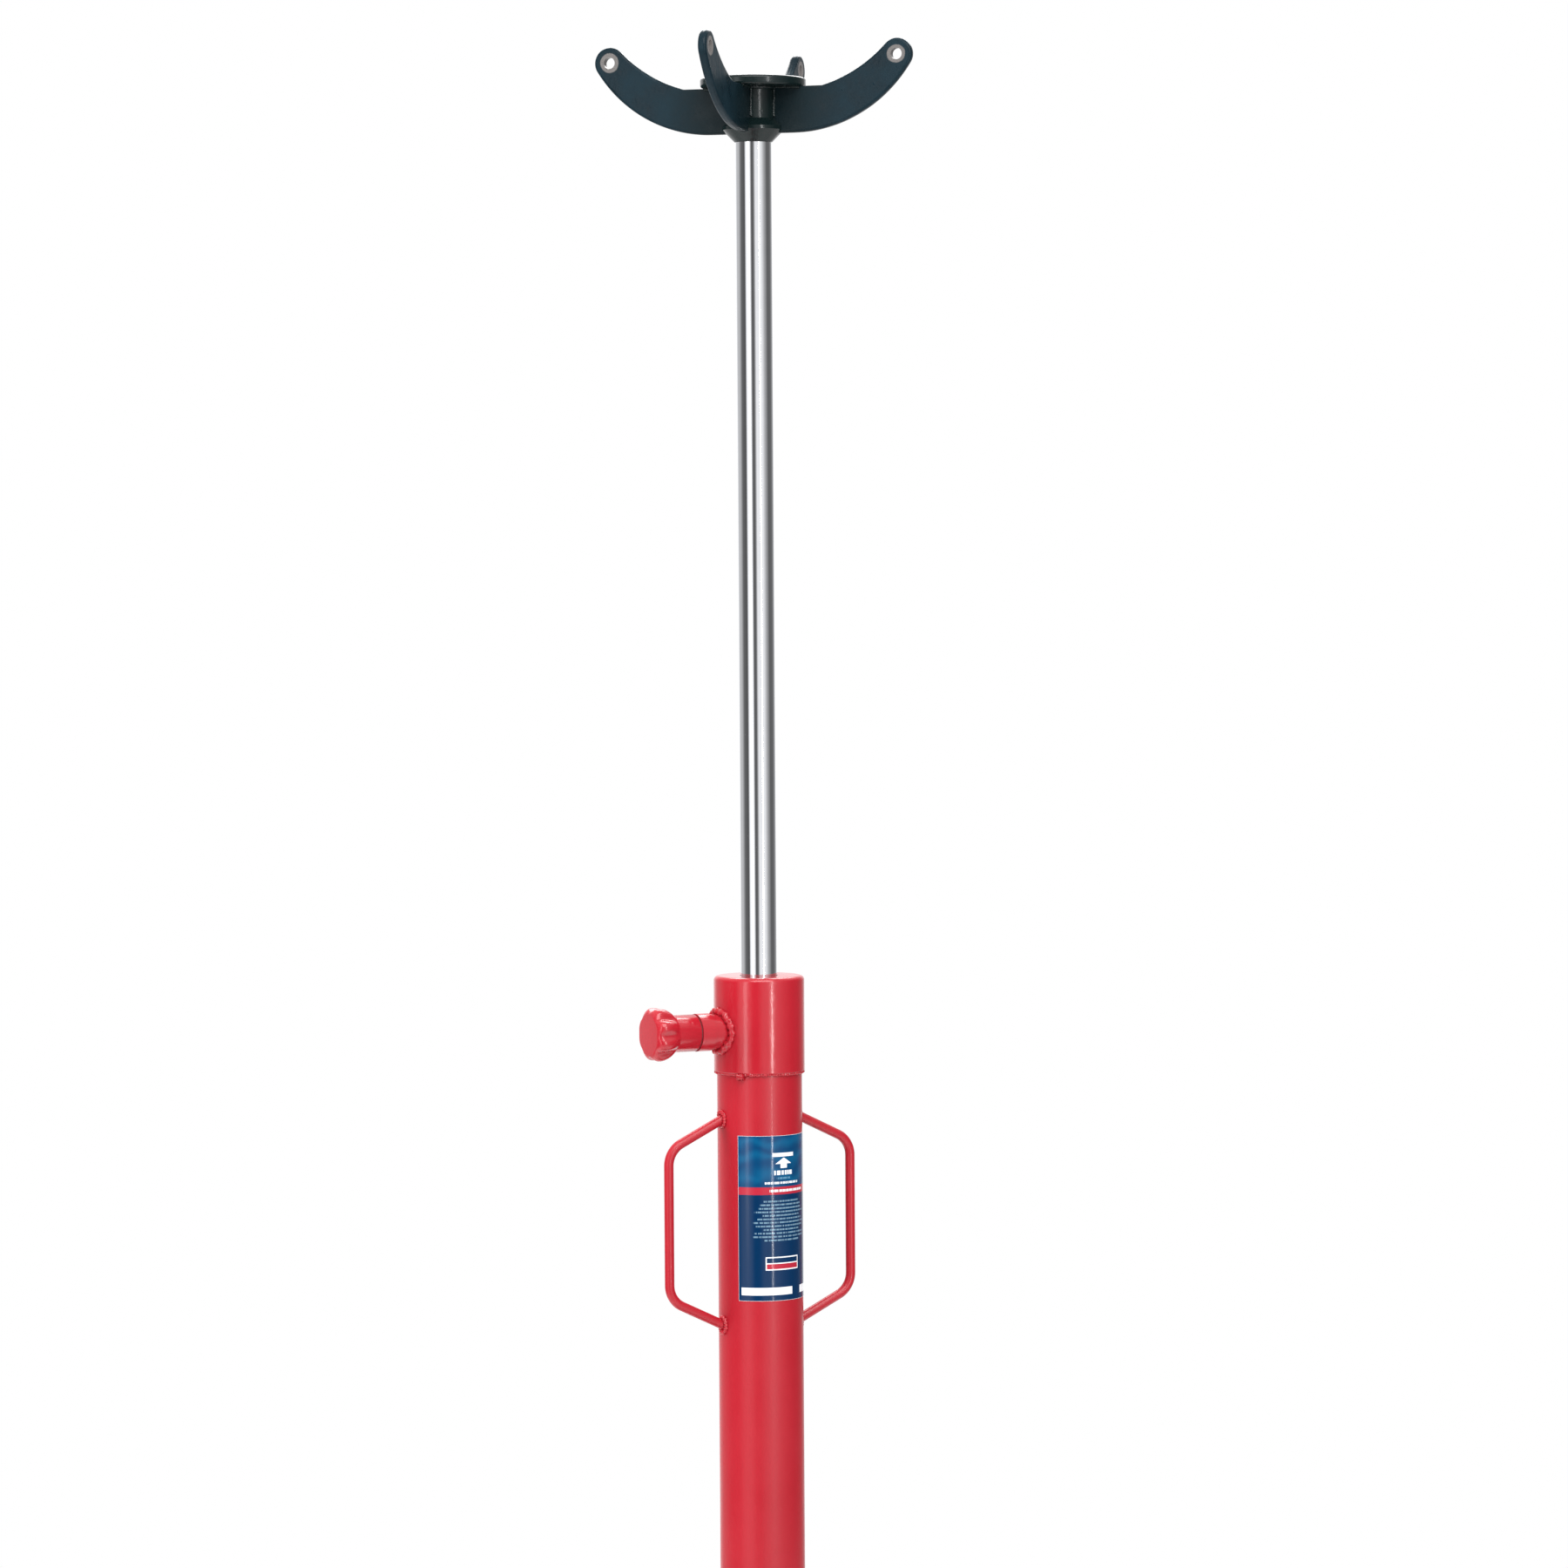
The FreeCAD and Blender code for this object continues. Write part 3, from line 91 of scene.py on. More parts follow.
def maths(tree, operation, *terms):
    """Result of one sum, whose terms are numbers or other nodes' outputs."""
    return add_node(tree, "ShaderNodeMath", dict(enumerate(terms)), operation=operation).outputs[0]


def carried(tree, value, low, high, start=0.0, end=1.0, kind="LINEAR"):
    """Value carried from one range to another and held at its ends."""
    ends = {"Value": value, "From Min": low, "From Max": high, "To Min": start, "To Max": end}
    return add_node(tree, "ShaderNodeMapRange", ends, interpolation_type=kind).outputs["Result"]


def blend(tree, share, first, second, **settings):
    """Colour between two colours, each given as three numbers or as another node's output."""
    first, second = ((*colour, 1) if isinstance(colour, tuple) else colour for colour in (first, second))
    inputs = {"Factor": share, "A": first, "B": second}
    return add_node(tree, "ShaderNodeMix", inputs, data_type="RGBA", **settings).outputs["Result"]


# each stop: degrees to the right of the camera, brightness of the room there
ROOM_BANDS = [(-180, 1.2), (-150, 1.1), (-134, 0.62), (-112, 0.62), (-88, 0.16), (-60, 0.10), (-50, 1.25),
              (-26, 1.25), (-16, 0.12), (-2, 0.16), (10, 1.05), (46, 1.05), (66, 0.5), (90, 0.14),
              (118, 0.16), (146, 0.5), (160, 1.1), (180, 1.2)]
CEILING, CEILING_FOOT, CEILING_FULL = (1.1, 1.1, 1.1), 0.35, 0.65
world = bpy.data.worlds.new("white room")
scene.world = world
world.use_nodes = True
tree = world.node_tree
tree.nodes.clear()
direction = add_node(tree, "ShaderNodeTexCoord").outputs["Generated"]
from_camera = add_node(tree, "ShaderNodeMapping", {"Vector": direction, "Rotation": (0, 0, -VIEW_AZIMUTH)},
                       vector_type="POINT")
split = add_node(tree, "ShaderNodeSeparateXYZ", {0: from_camera.outputs["Vector"]})
azimuth = maths(tree, "ARCTAN2", split.outputs["X"], maths(tree, "MULTIPLY", split.outputs["Y"], -1))
bands = add_node(tree, "ShaderNodeValToRGB", {"Fac": carried(tree, azimuth, -math.pi, math.pi)})
for number, (degrees, level) in enumerate(ROOM_BANDS):
    position = (degrees + 180) / 360
    stop = bands.color_ramp.elements[number] if number < 2 else bands.color_ramp.elements.new(position)
    stop.position = position
    stop.color = (level, level, level * 1.01, 1)
overhead = carried(tree, maths(tree, "ABSOLUTE", split.outputs["Z"]), CEILING_FOOT, CEILING_FULL)
room = blend(tree, overhead, bands.outputs["Color"], CEILING)
seen = add_node(tree, "ShaderNodeLightPath").outputs["Is Camera Ray"]
background = add_node(tree, "ShaderNodeBackground", {"Color": blend(tree, seen, room, (1, 1, 1))})
add_node(tree, "ShaderNodeOutputWorld", {"Surface": background.outputs[0]})

FLOOR_RADIUS, FADE_START, FADE_END = 1.9, 0.8, 1.86
FLOOR_GREY, FLOOR_ROUGHNESS = 0.86, 0.75
floor_mesh = bpy.data.meshes.new("floor")
floor_build = bmesh.new()
bmesh.ops.create_circle(floor_build, cap_ends=True, segments=96, radius=FLOOR_RADIUS)
floor_build.to_mesh(floor_mesh)
floor_build.free()
floor = bpy.data.objects.new("floor", floor_mesh)
scene.collection.objects.link(floor)
floor_paint = bpy.data.materials.new("pale floor")
floor_paint.use_nodes = True
tree = floor_paint.node_tree
shader = tree.nodes["Principled BSDF"]
shader.inputs["Base Color"].default_value = (FLOOR_GREY, FLOOR_GREY, FLOOR_GREY, 1)
shader.inputs["Roughness"].default_value = FLOOR_ROUGHNESS
spot = add_node(tree, "ShaderNodeTexCoord").outputs["Object"]
reach = add_node(tree, "ShaderNodeVectorMath", {0: spot}, operation="LENGTH").outputs["Value"]
tree.links.new(carried(tree, reach, FADE_END, FADE_START, kind="SMOOTHSTEP"), shader.inputs["Alpha"])
floor_mesh.materials.append(floor_paint)


def add_soft_light(name, degrees, distance, width, height, middle, watts):
    """Soft rectangular light that stands at an azimuth right of the camera and faces the jack."""
    data = bpy.data.lights.new(name, "AREA")
    data.shape = "RECTANGLE"
    data.size = width
    data.size_y = height
    data.energy = watts
    light = bpy.data.objects.new(name, data)
    towards = Matrix.Rotation(math.radians(degrees), 3, "Z") @ to_camera
    light.location = towards * distance + Vector((0, 0, middle))
    light.rotation_euler = (-towards).to_track_quat("-Z", "Y").to_euler()
    scene.collection.objects.link(light)
    return light


# each light: degrees right of the camera, distance, width, height, middle above the floor, watts
add_soft_light("key strip", 33, 3.2, 0.10, 2.8, 1.65, 36)
add_soft_light("left strip", -35, 3.2, 0.5, 2.6, 1.7, 13)
add_soft_light("left fill", -78, 3.0, 1.2, 2.4, 1.65, 86).visible_glossy = False
top_bank = add_soft_light("top bank", 10, 2.0, 2.4, 1.8, 3.3, 80)
rear_bank = add_soft_light("rear bank", 176, 1.7, 2.0, 1.2, 3.1, 62)
BANK_AIM = Vector((0, 0, 1.1))
for bank in (top_bank, rear_bank):
    bank.rotation_euler = (BANK_AIM - bank.location).to_track_quat("-Z", "Y").to_euler()
    bank.visible_camera = False


# Column: drawn steel pipe, 3 inch nominal, sprayed with gloss red enamel after welding. The enamel
# pools a little, and carries orange peel and a few nibs.

def open_group(name, kind, takes, gives):
    """Empty node group with its sockets, and the sockets inside it that it takes from and gives to."""
    group = bpy.data.node_groups.new(name, kind)
    for socket_name, socket_kind, start in takes:
        socket = group.interface.new_socket(socket_name, in_out="INPUT",
                                            socket_type=f"NodeSocket{socket_kind}")
        if start is not None:
            socket.default_value = start
    for socket_name, socket_kind in gives:
        group.interface.new_socket(socket_name, in_out="OUTPUT", socket_type=f"NodeSocket{socket_kind}")
    return group, group.nodes.new("NodeGroupInput").outputs, group.nodes.new("NodeGroupOutput").inputs


def make_mottle_group():
    """Shared unevenness: slow tone drift, fine grain and sparse nibs, all from object coordinates."""
    group, taken, given = open_group(
        "mottle", "ShaderNodeTree",
        [("Drift Scale", "Float", 6.0), ("Grain Scale", "Float", 400.0),
         ("Stretch", "Vector", (1.0, 1.0, 1.0)), ("Nib Scale", "Float", 90.0), ("Nibs", "Float", 0.0)],
        [("Tone", "Float"), ("Height", "Float")])
    nib_reach, bare_share = 0.16, 0.8
    place = add_node(group, "ShaderNodeTexCoord").outputs["Object"]
    stretched = add_node(group, "ShaderNodeVectorMath", {0: place, 1: taken["Stretch"]},
                         operation="MULTIPLY").outputs[0]
    drift = add_node(group, "ShaderNodeTexNoise", {"Vector": stretched, "Scale": taken["Drift Scale"],
                                                   "Detail": 4, "Roughness": 0.6})
    grain = add_node(group, "ShaderNodeTexNoise", {"Vector": stretched, "Scale": taken["Grain Scale"],
                                                   "Detail": 2})
    cells = add_node(group, "ShaderNodeTexVoronoi", {"Vector": place, "Scale": taken["Nib Scale"]})
    chance = add_node(group, "ShaderNodeSeparateColor", {0: cells.outputs["Color"]}).outputs[0]
    nib = maths(group, "MULTIPLY", carried(group, cells.outputs["Distance"], nib_reach, 0.0),
                maths(group, "GREATER_THAN", chance, bare_share))
    height = maths(group, "ADD", grain.outputs["Fac"], maths(group, "MULTIPLY", nib, taken["Nibs"]))
    group.links.new(drift.outputs["Fac"], given["Tone"])
    group.links.new(height, given["Height"])
    return group


mottle = make_mottle_group()
DRIFT_LOW, DRIFT_HIGH, COAT_ROUGHNESS = 0.3, 0.7, 0.06


def finish_of(name, light, dark, rough, bump=0.05, metallic=0.0, coat=0.0, drift=6.0, grain=400.0,
              stretch=(1, 1, 1), nibs=0.0, nib_scale=90.0, bump_reach=0.0006, specular=0.5):
    """Material of one finish: two tones that drift into each other, uneven gloss and a fine bump."""
    finish = bpy.data.materials.new(name)
    finish.use_nodes = True
    tree = finish.node_tree
    uneven = add_node(tree, "ShaderNodeGroup",
                      {"Drift Scale": drift, "Grain Scale": grain, "Stretch": stretch, "Nibs": nibs,
                       "Nib Scale": nib_scale}, node_tree=mottle, name="uneven")
    relief = add_node(tree, "ShaderNodeBump", {"Strength": bump, "Distance": bump_reach,
                                               "Height": uneven.outputs["Height"]})
    shader = tree.nodes["Principled BSDF"]
    for socket, amount in (("Metallic", metallic), ("Coat Weight", coat), ("Coat Roughness", COAT_ROUGHNESS),
                           ("Specular IOR Level", specular)):
        shader.inputs[socket].default_value = amount
    drifting = uneven.outputs["Tone"]
    for socket, source in (("Base Color", blend(tree, drifting, dark, light, name="tone")),
                           ("Roughness", carried(tree, drifting, DRIFT_LOW, DRIFT_HIGH, *rough)),
                           ("Normal", relief.outputs["Normal"])):
        tree.links.new(source, shader.inputs[socket])
    return finish


red_enamel = finish_of("red enamel", (0.365, 0.0095, 0.020), (0.305, 0.007, 0.014), (0.26, 0.40), bump=0.2,
                       coat=0.06, drift=9, grain=260, nibs=1.5, nib_scale=70, specular=0.34)


def shade_smooth(mesh, crease_degrees=32):
    """Smooth shading with sharp edges where faces meet at more than the crease angle."""
    build = bmesh.new()
    build.from_mesh(mesh)
    for face in build.faces:
        face.smooth = True
    limit = math.radians(crease_degrees)
    for edge in build.edges:
        edge.smooth = len(edge.link_faces) == 2 and edge.calc_face_angle(0) < limit
    build.to_mesh(mesh)
    build.free()


def fit_piece(name, mesh, body, *stands_for, slot=None):
    """Make a mesh a piece of the jack that rides on a body and stands for CAD nodes."""
    piece = bpy.data.objects.new(name, mesh)
    scene.collection.objects.link(piece)
    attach(piece, body)
    if stands_for:
        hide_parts(*stands_for)
    return piece


def new_piece(name, build, finish, body, *stands_for, slot=None, crease=32):
    """Turn a bmesh into a piece of the jack."""
    bmesh.ops.remove_doubles(build, verts=build.verts, dist=1e-6)
    bmesh.ops.recalc_face_normals(build, faces=build.faces)
    mesh = bpy.data.meshes.new(name)
    build.to_mesh(mesh)
    build.free()
    shade_smooth(mesh, crease)
    mesh.materials.append(finish)
    return fit_piece(name, mesh, body, *stands_for, slot=slot)


def turn_section(section, segments=128):
    """Revolve a closed section of radius and height about the jack's axis."""
    build = bmesh.new()
    rings = []
    for step in range(segments):
        angle = 2 * math.pi * step / segments
        rings.append([build.verts.new((radius * math.cos(angle), radius * math.sin(angle), height))
                      for radius, height in section])
    for step, near_ring in enumerate(rings):
        far_ring = rings[(step + 1) % segments]
        for i in range(len(section)):
            j = (i + 1) % len(section)
            build.faces.new((near_ring[i], far_ring[i], far_ring[j], near_ring[j]))
    return build


COLUMN_WALL = 0.004
tube_low, tube_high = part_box("reservoir_tube")
column_radius = tube_high.x
column_bore = column_radius - COLUMN_WALL
column_section = [(column_radius, tube_low.z), (column_radius, tube_high.z),
                  (column_bore, tube_high.z), (column_bore, tube_low.z)]
new_piece("column_tube", turn_section(column_section, 192), red_enamel, "frame", "reservoir_tube",
          slot="red_paint")


def end_in_material(tree, shape, finish, result):
    """Close a Geometry Nodes tree: the shape is made real and given its material."""
    real = add_node(tree, "GeometryNodeRealizeInstances", {"Geometry": shape})
    painted = add_node(tree, "GeometryNodeSetMaterial",
                       {"Geometry": real.outputs["Geometry"], "Material": finish})
    tree.links.new(painted.outputs["Geometry"], result)


def make_weld_tree():
    """Weld bead along the input edges: a low round bead with overlapping ripples and a wandering edge."""
    tree, taken, given = open_group(
        "weld bead", "GeometryNodeTree",
        [("Path", "Geometry", None), ("Width", "Float", 0.005), ("Ripple Pitch", "Float", 0.0024),
         ("Ripple Height", "Float", 0.0004), ("Wander", "Float", 0.0006), ("Seed", "Float", 0.0),
         ("Finish", "Material", None)],
        [("Bead", "Geometry")])
    steps_per_ripple, bead_sides, lump_scale, wander_gain = 5, 12, 170, 3
    line = add_node(tree, "GeometryNodeMeshToCurve", {"Mesh": taken["Path"]})
    step_length = maths(tree, "DIVIDE", taken["Ripple Pitch"], steps_per_ripple)
    evenly = add_node(tree, "GeometryNodeResampleCurve",
                      {"Curve": line.outputs["Curve"], "Length": step_length}, mode="LENGTH")
    along = add_node(tree, "GeometryNodeSplineParameter").outputs["Length"]
    kept = add_node(tree, "GeometryNodeCaptureAttribute")
    kept.capture_items.new("FLOAT", "Along")
    tree.links.new(evenly.outputs["Curve"], kept.inputs["Geometry"])
    tree.links.new(along, kept.inputs["Along"])
    profile = add_node(tree, "GeometryNodeCurvePrimitiveCircle",
                       {"Resolution": bead_sides, "Radius": maths(tree, "DIVIDE", taken["Width"], 2)})
    swept = add_node(tree, "GeometryNodeCurveToMesh",
                     {"Curve": kept.outputs["Geometry"], "Profile Curve": profile.outputs["Curve"],
                      "Fill Caps": True})
    turns = maths(tree, "DIVIDE", kept.outputs["Along"], taken["Ripple Pitch"])
    wave = maths(tree, "SINE", maths(tree, "MULTIPLY", turns, 2 * math.pi))
    ripple = maths(tree, "MULTIPLY", wave, taken["Ripple Height"])
    spot = add_node(tree, "GeometryNodeInputPosition").outputs["Position"]
    lump = add_node(tree, "ShaderNodeTexNoise", {"Vector": spot, "W": taken["Seed"], "Scale": lump_scale},
                    noise_dimensions="4D")
    wander = maths(tree, "MULTIPLY", maths(tree, "SUBTRACT", lump.outputs["Fac"], 0.5),
                   maths(tree, "MULTIPLY", taken["Wander"], wander_gain))
    outward = add_node(tree, "GeometryNodeInputNormal").outputs["Normal"]
    push = add_node(tree, "ShaderNodeVectorMath",
                    {0: outward, "Scale": maths(tree, "ADD", ripple, wander)}, operation="SCALE")
    shifted = add_node(tree, "GeometryNodeSetPosition",
                       {"Geometry": swept.outputs["Mesh"], "Offset": push.outputs["Vector"]})
    smooth = add_node(tree, "GeometryNodeSetShadeSmooth", {"Geometry": shifted.outputs["Geometry"]})
    end_in_material(tree, smooth.outputs["Geometry"], taken["Finish"], given["Bead"])
    return tree


def grown_mesh(name, start_mesh, tree, matrix, **settings):
    """Mesh that a Geometry Nodes tree makes from a start mesh, moved to its place."""
    start = bpy.data.objects.new(f"{name} start", start_mesh)
    scene.collection.objects.link(start)
    grower = start.modifiers.new(tree.name, "NODES")
    grower.node_group = tree
    sockets = {item.name: item.identifier for item in tree.interface.items_tree if item.item_type == "SOCKET"}
    for setting, amount in settings.items():
        grower[sockets[setting.replace("_", " ").title()]] = amount
    mesh = bpy.data.meshes.new_from_object(start.evaluated_get(bpy.context.evaluated_depsgraph_get()))
    bpy.data.objects.remove(start)
    mesh.transform(matrix)
    return mesh


weld_tree = make_weld_tree()


def lay_welds(name, paths, finish, body, width=0.005, pitch=0.0024, ripple=0.0004, wander=0.0006, slot=None):
    """One piece of weld beads along paths of points; a path that ends where it starts is closed."""
    build = bmesh.new()
    for path in paths:
        closed = (path[0] - path[-1]).length < 1e-6
        verts = [build.verts.new(point) for point in (path[:-1] if closed else path)]
        for pair in zip(verts, verts[1:] + verts[:1] if closed else verts[1:]):
            build.edges.new(pair)
    guide_mesh = bpy.data.meshes.new(f"{name} path")
    build.to_mesh(guide_mesh)
    build.free()
    mesh = grown_mesh(name, guide_mesh, weld_tree, Matrix(), width=width, ripple_pitch=pitch,
                      ripple_height=ripple, wander=wander, seed=float(len(name)), finish=finish)
    return fit_piece(name, mesh, body, slot=slot)


def at_bearing(degrees, out, aside, height):
    """Point that stands out from the jack's axis at a bearing, and to one side of it."""
    return Matrix.Rotation(math.radians(degrees), 3, "Z") @ Vector((out, aside, height))


def ring_path(radius, height, count=96):
    """Closed level circle about the jack's axis."""
    points = [at_bearing(360 * i / count, radius, 0, height) for i in range(count)]
    return points + [points[0].copy()]


def dress(finish, *names):
    """Give CAD nodes their finish."""
    for name in names:
        materials = nodes[name].data.materials
        materials.clear()
        materials.append(finish)


# Head collar: turned steel ring that closes the top of the column, welded to the pipe round its lower
# edge, with one short, fatter run of weld just below.
COLLAR_BEAD_PROUD = 0.0006
TACK_BEARINGS, TACK_PROUD, TACK_DROP = (-147.5, -142.5, -138), 0.0014, 0.0030
collar_low, collar_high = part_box("head_collar")
collar_radius = collar_high.x
wet_enamel = finish_of("heavy red enamel", (0.38, 0.010, 0.021), (0.32, 0.008, 0.015), (0.13, 0.24),
                       bump=0.26, coat=0.12, drift=12, grain=150, nibs=2.2, nib_scale=60, specular=0.42)
dress(wet_enamel, "head_collar")
collar_bead = ring_path(column_radius + COLLAR_BEAD_PROUD, collar_low.z - COLLAR_BEAD_PROUD)
lay_welds("collar_weld", [collar_bead], wet_enamel, "frame", width=0.0038, ripple=0.0003, wander=0.0012,
          slot="red_paint")
tack = [at_bearing(bearing, column_radius + TACK_PROUD, 0, collar_low.z - TACK_DROP)
        for bearing in TACK_BEARINGS]
lay_welds("collar_tack", [tack], wet_enamel, "frame", width=0.0072, ripple=0.0006, wander=0.0012,
          slot="red_paint")

# Ram and its fittings: ground tube with hard chrome, polished along its length, in a bronze bush with
# black rubber seals and wiper. The pressure cylinder, piston and saddle stub are ground steel.
chrome = finish_of("hard chrome", (0.80, 0.81, 0.83), (0.74, 0.75, 0.77), (0.035, 0.07), bump=0.012,
                   metallic=1.0, drift=14, grain=900, stretch=(1, 1, 6), bump_reach=0.0002)
ground_steel = finish_of("ground steel", (0.46, 0.46, 0.47), (0.30, 0.30, 0.31), (0.24, 0.40), bump=0.06,
                         metallic=1.0, drift=30, grain=700, stretch=(1, 1, 9))
bronze = finish_of("turned bronze", (0.72, 0.48, 0.22), (0.55, 0.34, 0.15), (0.24, 0.36), bump=0.05,
                   metallic=1.0, drift=40, grain=600)
rubber = finish_of("black rubber", (0.022, 0.022, 0.023), (0.012, 0.012, 0.013), (0.48, 0.66), bump=0.25,
                   drift=35, grain=500, specular=0.35)
dress(chrome, "ram_tube", "pump_plunger")
dress(ground_steel, "pressure_cylinder", "piston_head", "saddle_stub")
dress(bronze, "guide_bush")
dress(rubber, "rod_seal", "wiper_ring", "piston_seal")

# Saddle: flame-cut arms and a turned plate welded to a turned hub and sprayed gloss blue-black.
# The hub, plate, screw and their welds take a darker copy of that paint, and the arms darken towards
# the hub; both are painted shade of the dark space under the plate. Welds run down both sides of each
# arm's root and out under the plate. Fixings have rubbed a pale ring round each tip hole.
TIP_REACH, TIP_HEIGHT, TIP_RING = 0.1562, 1.9696, 0.0100
RING_SOLID, RING_END, RING_RAGGED = 0.0012, 0.0024, 0.004
# painted shade: the arm colour darkens to near black towards the hub, where the plate shades the arm roots
ROOT_SHADE_FULL, ROOT_SHADE_START, ROOT_SHADE_STRENGTH = 0.035, 0.110, 0.9
ROOT_SHADE_COLOUR, RUBBED_STEEL = (0.003, 0.0075, 0.009), (0.115, 0.108, 0.105)
# darker, glossier copy of the saddle paint: painted shade on the hub, plate, screw and the welds under the
# plate
shade_darkened_enamel = finish_of("black enamel", (0.005, 0.0115, 0.012), (0.002, 0.005, 0.005), (0.16, 0.30),
                         bump=0.3, coat=0.08, drift=18, grain=220, nibs=1.2, nib_scale=110, specular=0.20)
arm_enamel = finish_of("blue black enamel", (0.0095, 0.025, 0.035), (0.0006, 0.003, 0.005), (0.20, 0.44),
                       bump=0.45, drift=34, grain=200, nibs=1.6, nib_scale=120, specular=0.10)
tree = arm_enamel.node_tree
place = add_node(tree, "ShaderNodeTexCoord").outputs["Object"]
split = add_node(tree, "ShaderNodeSeparateXYZ", {0: place}).outputs
level = add_node(tree, "ShaderNodeCombineXYZ", {"X": split["X"], "Y": split["Y"]}).outputs[0]
reach = add_node(tree, "ShaderNodeVectorMath", {0: level}, operation="LENGTH").outputs["Value"]
side_view = add_node(tree, "ShaderNodeCombineXYZ", {"X": reach, "Y": split["Z"]}).outputs[0]
from_hole = add_node(tree, "ShaderNodeVectorMath", {0: side_view, 1: (TIP_REACH, TIP_HEIGHT, 0)},
                     operation="DISTANCE").outputs["Value"]
ragged = maths(tree, "MULTIPLY_ADD", tree.nodes["uneven"].outputs["Tone"], RING_RAGGED, from_hole)
ring_mask = carried(tree, ragged, TIP_RING + RING_END, TIP_RING + RING_SOLID, kind="SMOOTHSTEP")
# painted shade near the hub, blended over the arm paint's own tones
root_shade = carried(tree, reach, ROOT_SHADE_START, ROOT_SHADE_FULL, 0.0, ROOT_SHADE_STRENGTH, "SMOOTHSTEP")
root_shaded_tone = blend(tree, root_shade, tree.nodes["tone"].outputs["Result"], ROOT_SHADE_COLOUR)
worn = blend(tree, ring_mask, root_shaded_tone, RUBBED_STEEL)
tree.links.new(worn, tree.nodes["Principled BSDF"].inputs["Base Color"])
dress(shade_darkened_enamel, "saddle_hub", "saddle_plate", "saddle_screw")
dress(arm_enamel, *(f"saddle_arm_{i}" for i in range(1, 5)))

DIAGONALS = (45, 135, 225, 315)
NECK_RADIUS, ARM_HALF, ROOT_RISES = 0.024, 0.0045, (0.026, 0.040, 0.055)
SADDLE_PROUD, RIM_SHORT, HUB_DROP = 0.0004, 0.003, 0.0006
hub_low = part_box("saddle_hub")[0]
plate_low, plate_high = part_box("saddle_plate")
neck_face = math.sqrt(NECK_RADIUS ** 2 - ARM_HALF ** 2) + SADDLE_PROUD
root_welds = []
plate_welds = []
for degrees in DIAGONALS:
    for side in (-1, 1):
        aside = side * (ARM_HALF + SADDLE_PROUD)
        root_welds.append([at_bearing(degrees, neck_face, aside, hub_low.z + rise) for rise in ROOT_RISES])
        plate_welds.append([at_bearing(degrees, out, aside, plate_low.z - SADDLE_PROUD)
                            for out in (neck_face, plate_high.x - RIM_SHORT)])
hub_bead = ring_path(NECK_RADIUS + SADDLE_PROUD, plate_low.z - HUB_DROP)
lay_welds("saddle_root_welds", root_welds, shade_darkened_enamel, "saddle", width=0.0044, ripple=0.00016,
          wander=0.0008, slot="black_paint")
lay_welds("saddle_plate_welds", plate_welds, shade_darkened_enamel, "saddle", width=0.0038, ripple=0.00016,
          wander=0.0007, slot="black_paint")
lay_welds("hub_plate_weld", [hub_bead], shade_darkened_enamel, "saddle", width=0.0042, ripple=0.00016,
          slot="black_paint")


# Filler: neck welded into the collar with a heavy bead, a rubber washer, and a screwed cap whose
# knob is cast with eight finger lobes.

def coped_loop(side, cylinder, proud, half_wide, half_tall, height, steps):
    """Closed loop round a part that meets one side of an upright cylinder."""
    loop = []
    for step in range(steps):
        angle = 2 * math.pi * step / steps
        across = half_wide * math.cos(angle)
        out = math.sqrt(cylinder ** 2 - across ** 2) + proud
        loop.append(Vector((side * out, across, height + half_tall * math.sin(angle))))
    return loop + [loop[0].copy()]


FILLER_BEAD_RADIUS, FILLER_PROUD = 0.0212, 0.0008
LOBES, LOBE_SHARPNESS, CAP_STEPS = 8, 1.6, 192
# each ring of the cap: distance out from the washer, radius, depth of the lobes there, all in millimetres
CAP_RINGS = [(20.5, 0, 0), (20.5, 15, 0), (0, 15, 0), (0, 18.7, 0), (0.8, 19.35, 0), (24.5, 19.35, 0),
             (26.5, 20.2, 0.2), (29, 22.8, 1.4), (32, 25.0, 2.8), (36, 27.0, 4.0), (40, 28.3, 4.6),
             (43.5, 28.8, 4.5), (46.5, 28.5, 3.9), (49, 27.4, 3.0), (51, 25.7, 2.0), (52.3, 23.7, 1.1),
             (53, 21.8, 0.4), (53.1, 20.3, 0), (53, 0, 0)]
cap_low, cap_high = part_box("filler_cap")
filler_height = (cap_low.z + cap_high.z) / 2
sprayed_rubber = finish_of("oversprayed rubber", (0.16, 0.008, 0.013), (0.07, 0.006, 0.008), (0.4, 0.6),
                           bump=0.2, drift=60, grain=400)
dress(wet_enamel, "filler_neck")
dress(sprayed_rubber, "filler_washer")
filler_bead = coped_loop(-1, collar_radius, FILLER_PROUD, FILLER_BEAD_RADIUS, FILLER_BEAD_RADIUS,
                         filler_height, 72)
lay_welds("filler_weld", [filler_bead], wet_enamel, "frame", width=0.0078, pitch=0.0066, ripple=0.0007,
          wander=0.0020, slot="red_paint")
cap_build = bmesh.new()
cap_rings = []
for step in range(CAP_STEPS):
    angle = 2 * math.pi * step / CAP_STEPS
    dip = (0.5 + 0.5 * math.cos(LOBES * angle)) ** LOBE_SHARPNESS
    ring = []
    for out, radius, depth in CAP_RINGS:
        reach = (radius - depth * dip) / 1000
        ring.append(cap_build.verts.new((cap_high.x - out / 1000, reach * math.cos(angle),
                                         filler_height + reach * math.sin(angle))))
    cap_rings.append(ring)
for step, near_ring in enumerate(cap_rings):
    far_ring = cap_rings[(step + 1) % CAP_STEPS]
    for i in range(len(CAP_RINGS) - 1):
        cap_build.faces.new((near_ring[i], far_ring[i], far_ring[i + 1], near_ring[i + 1]))
new_piece("filler_cap_lobed", cap_build, wet_enamel, "frame", "filler_cap", slot="red_paint", crease=50)

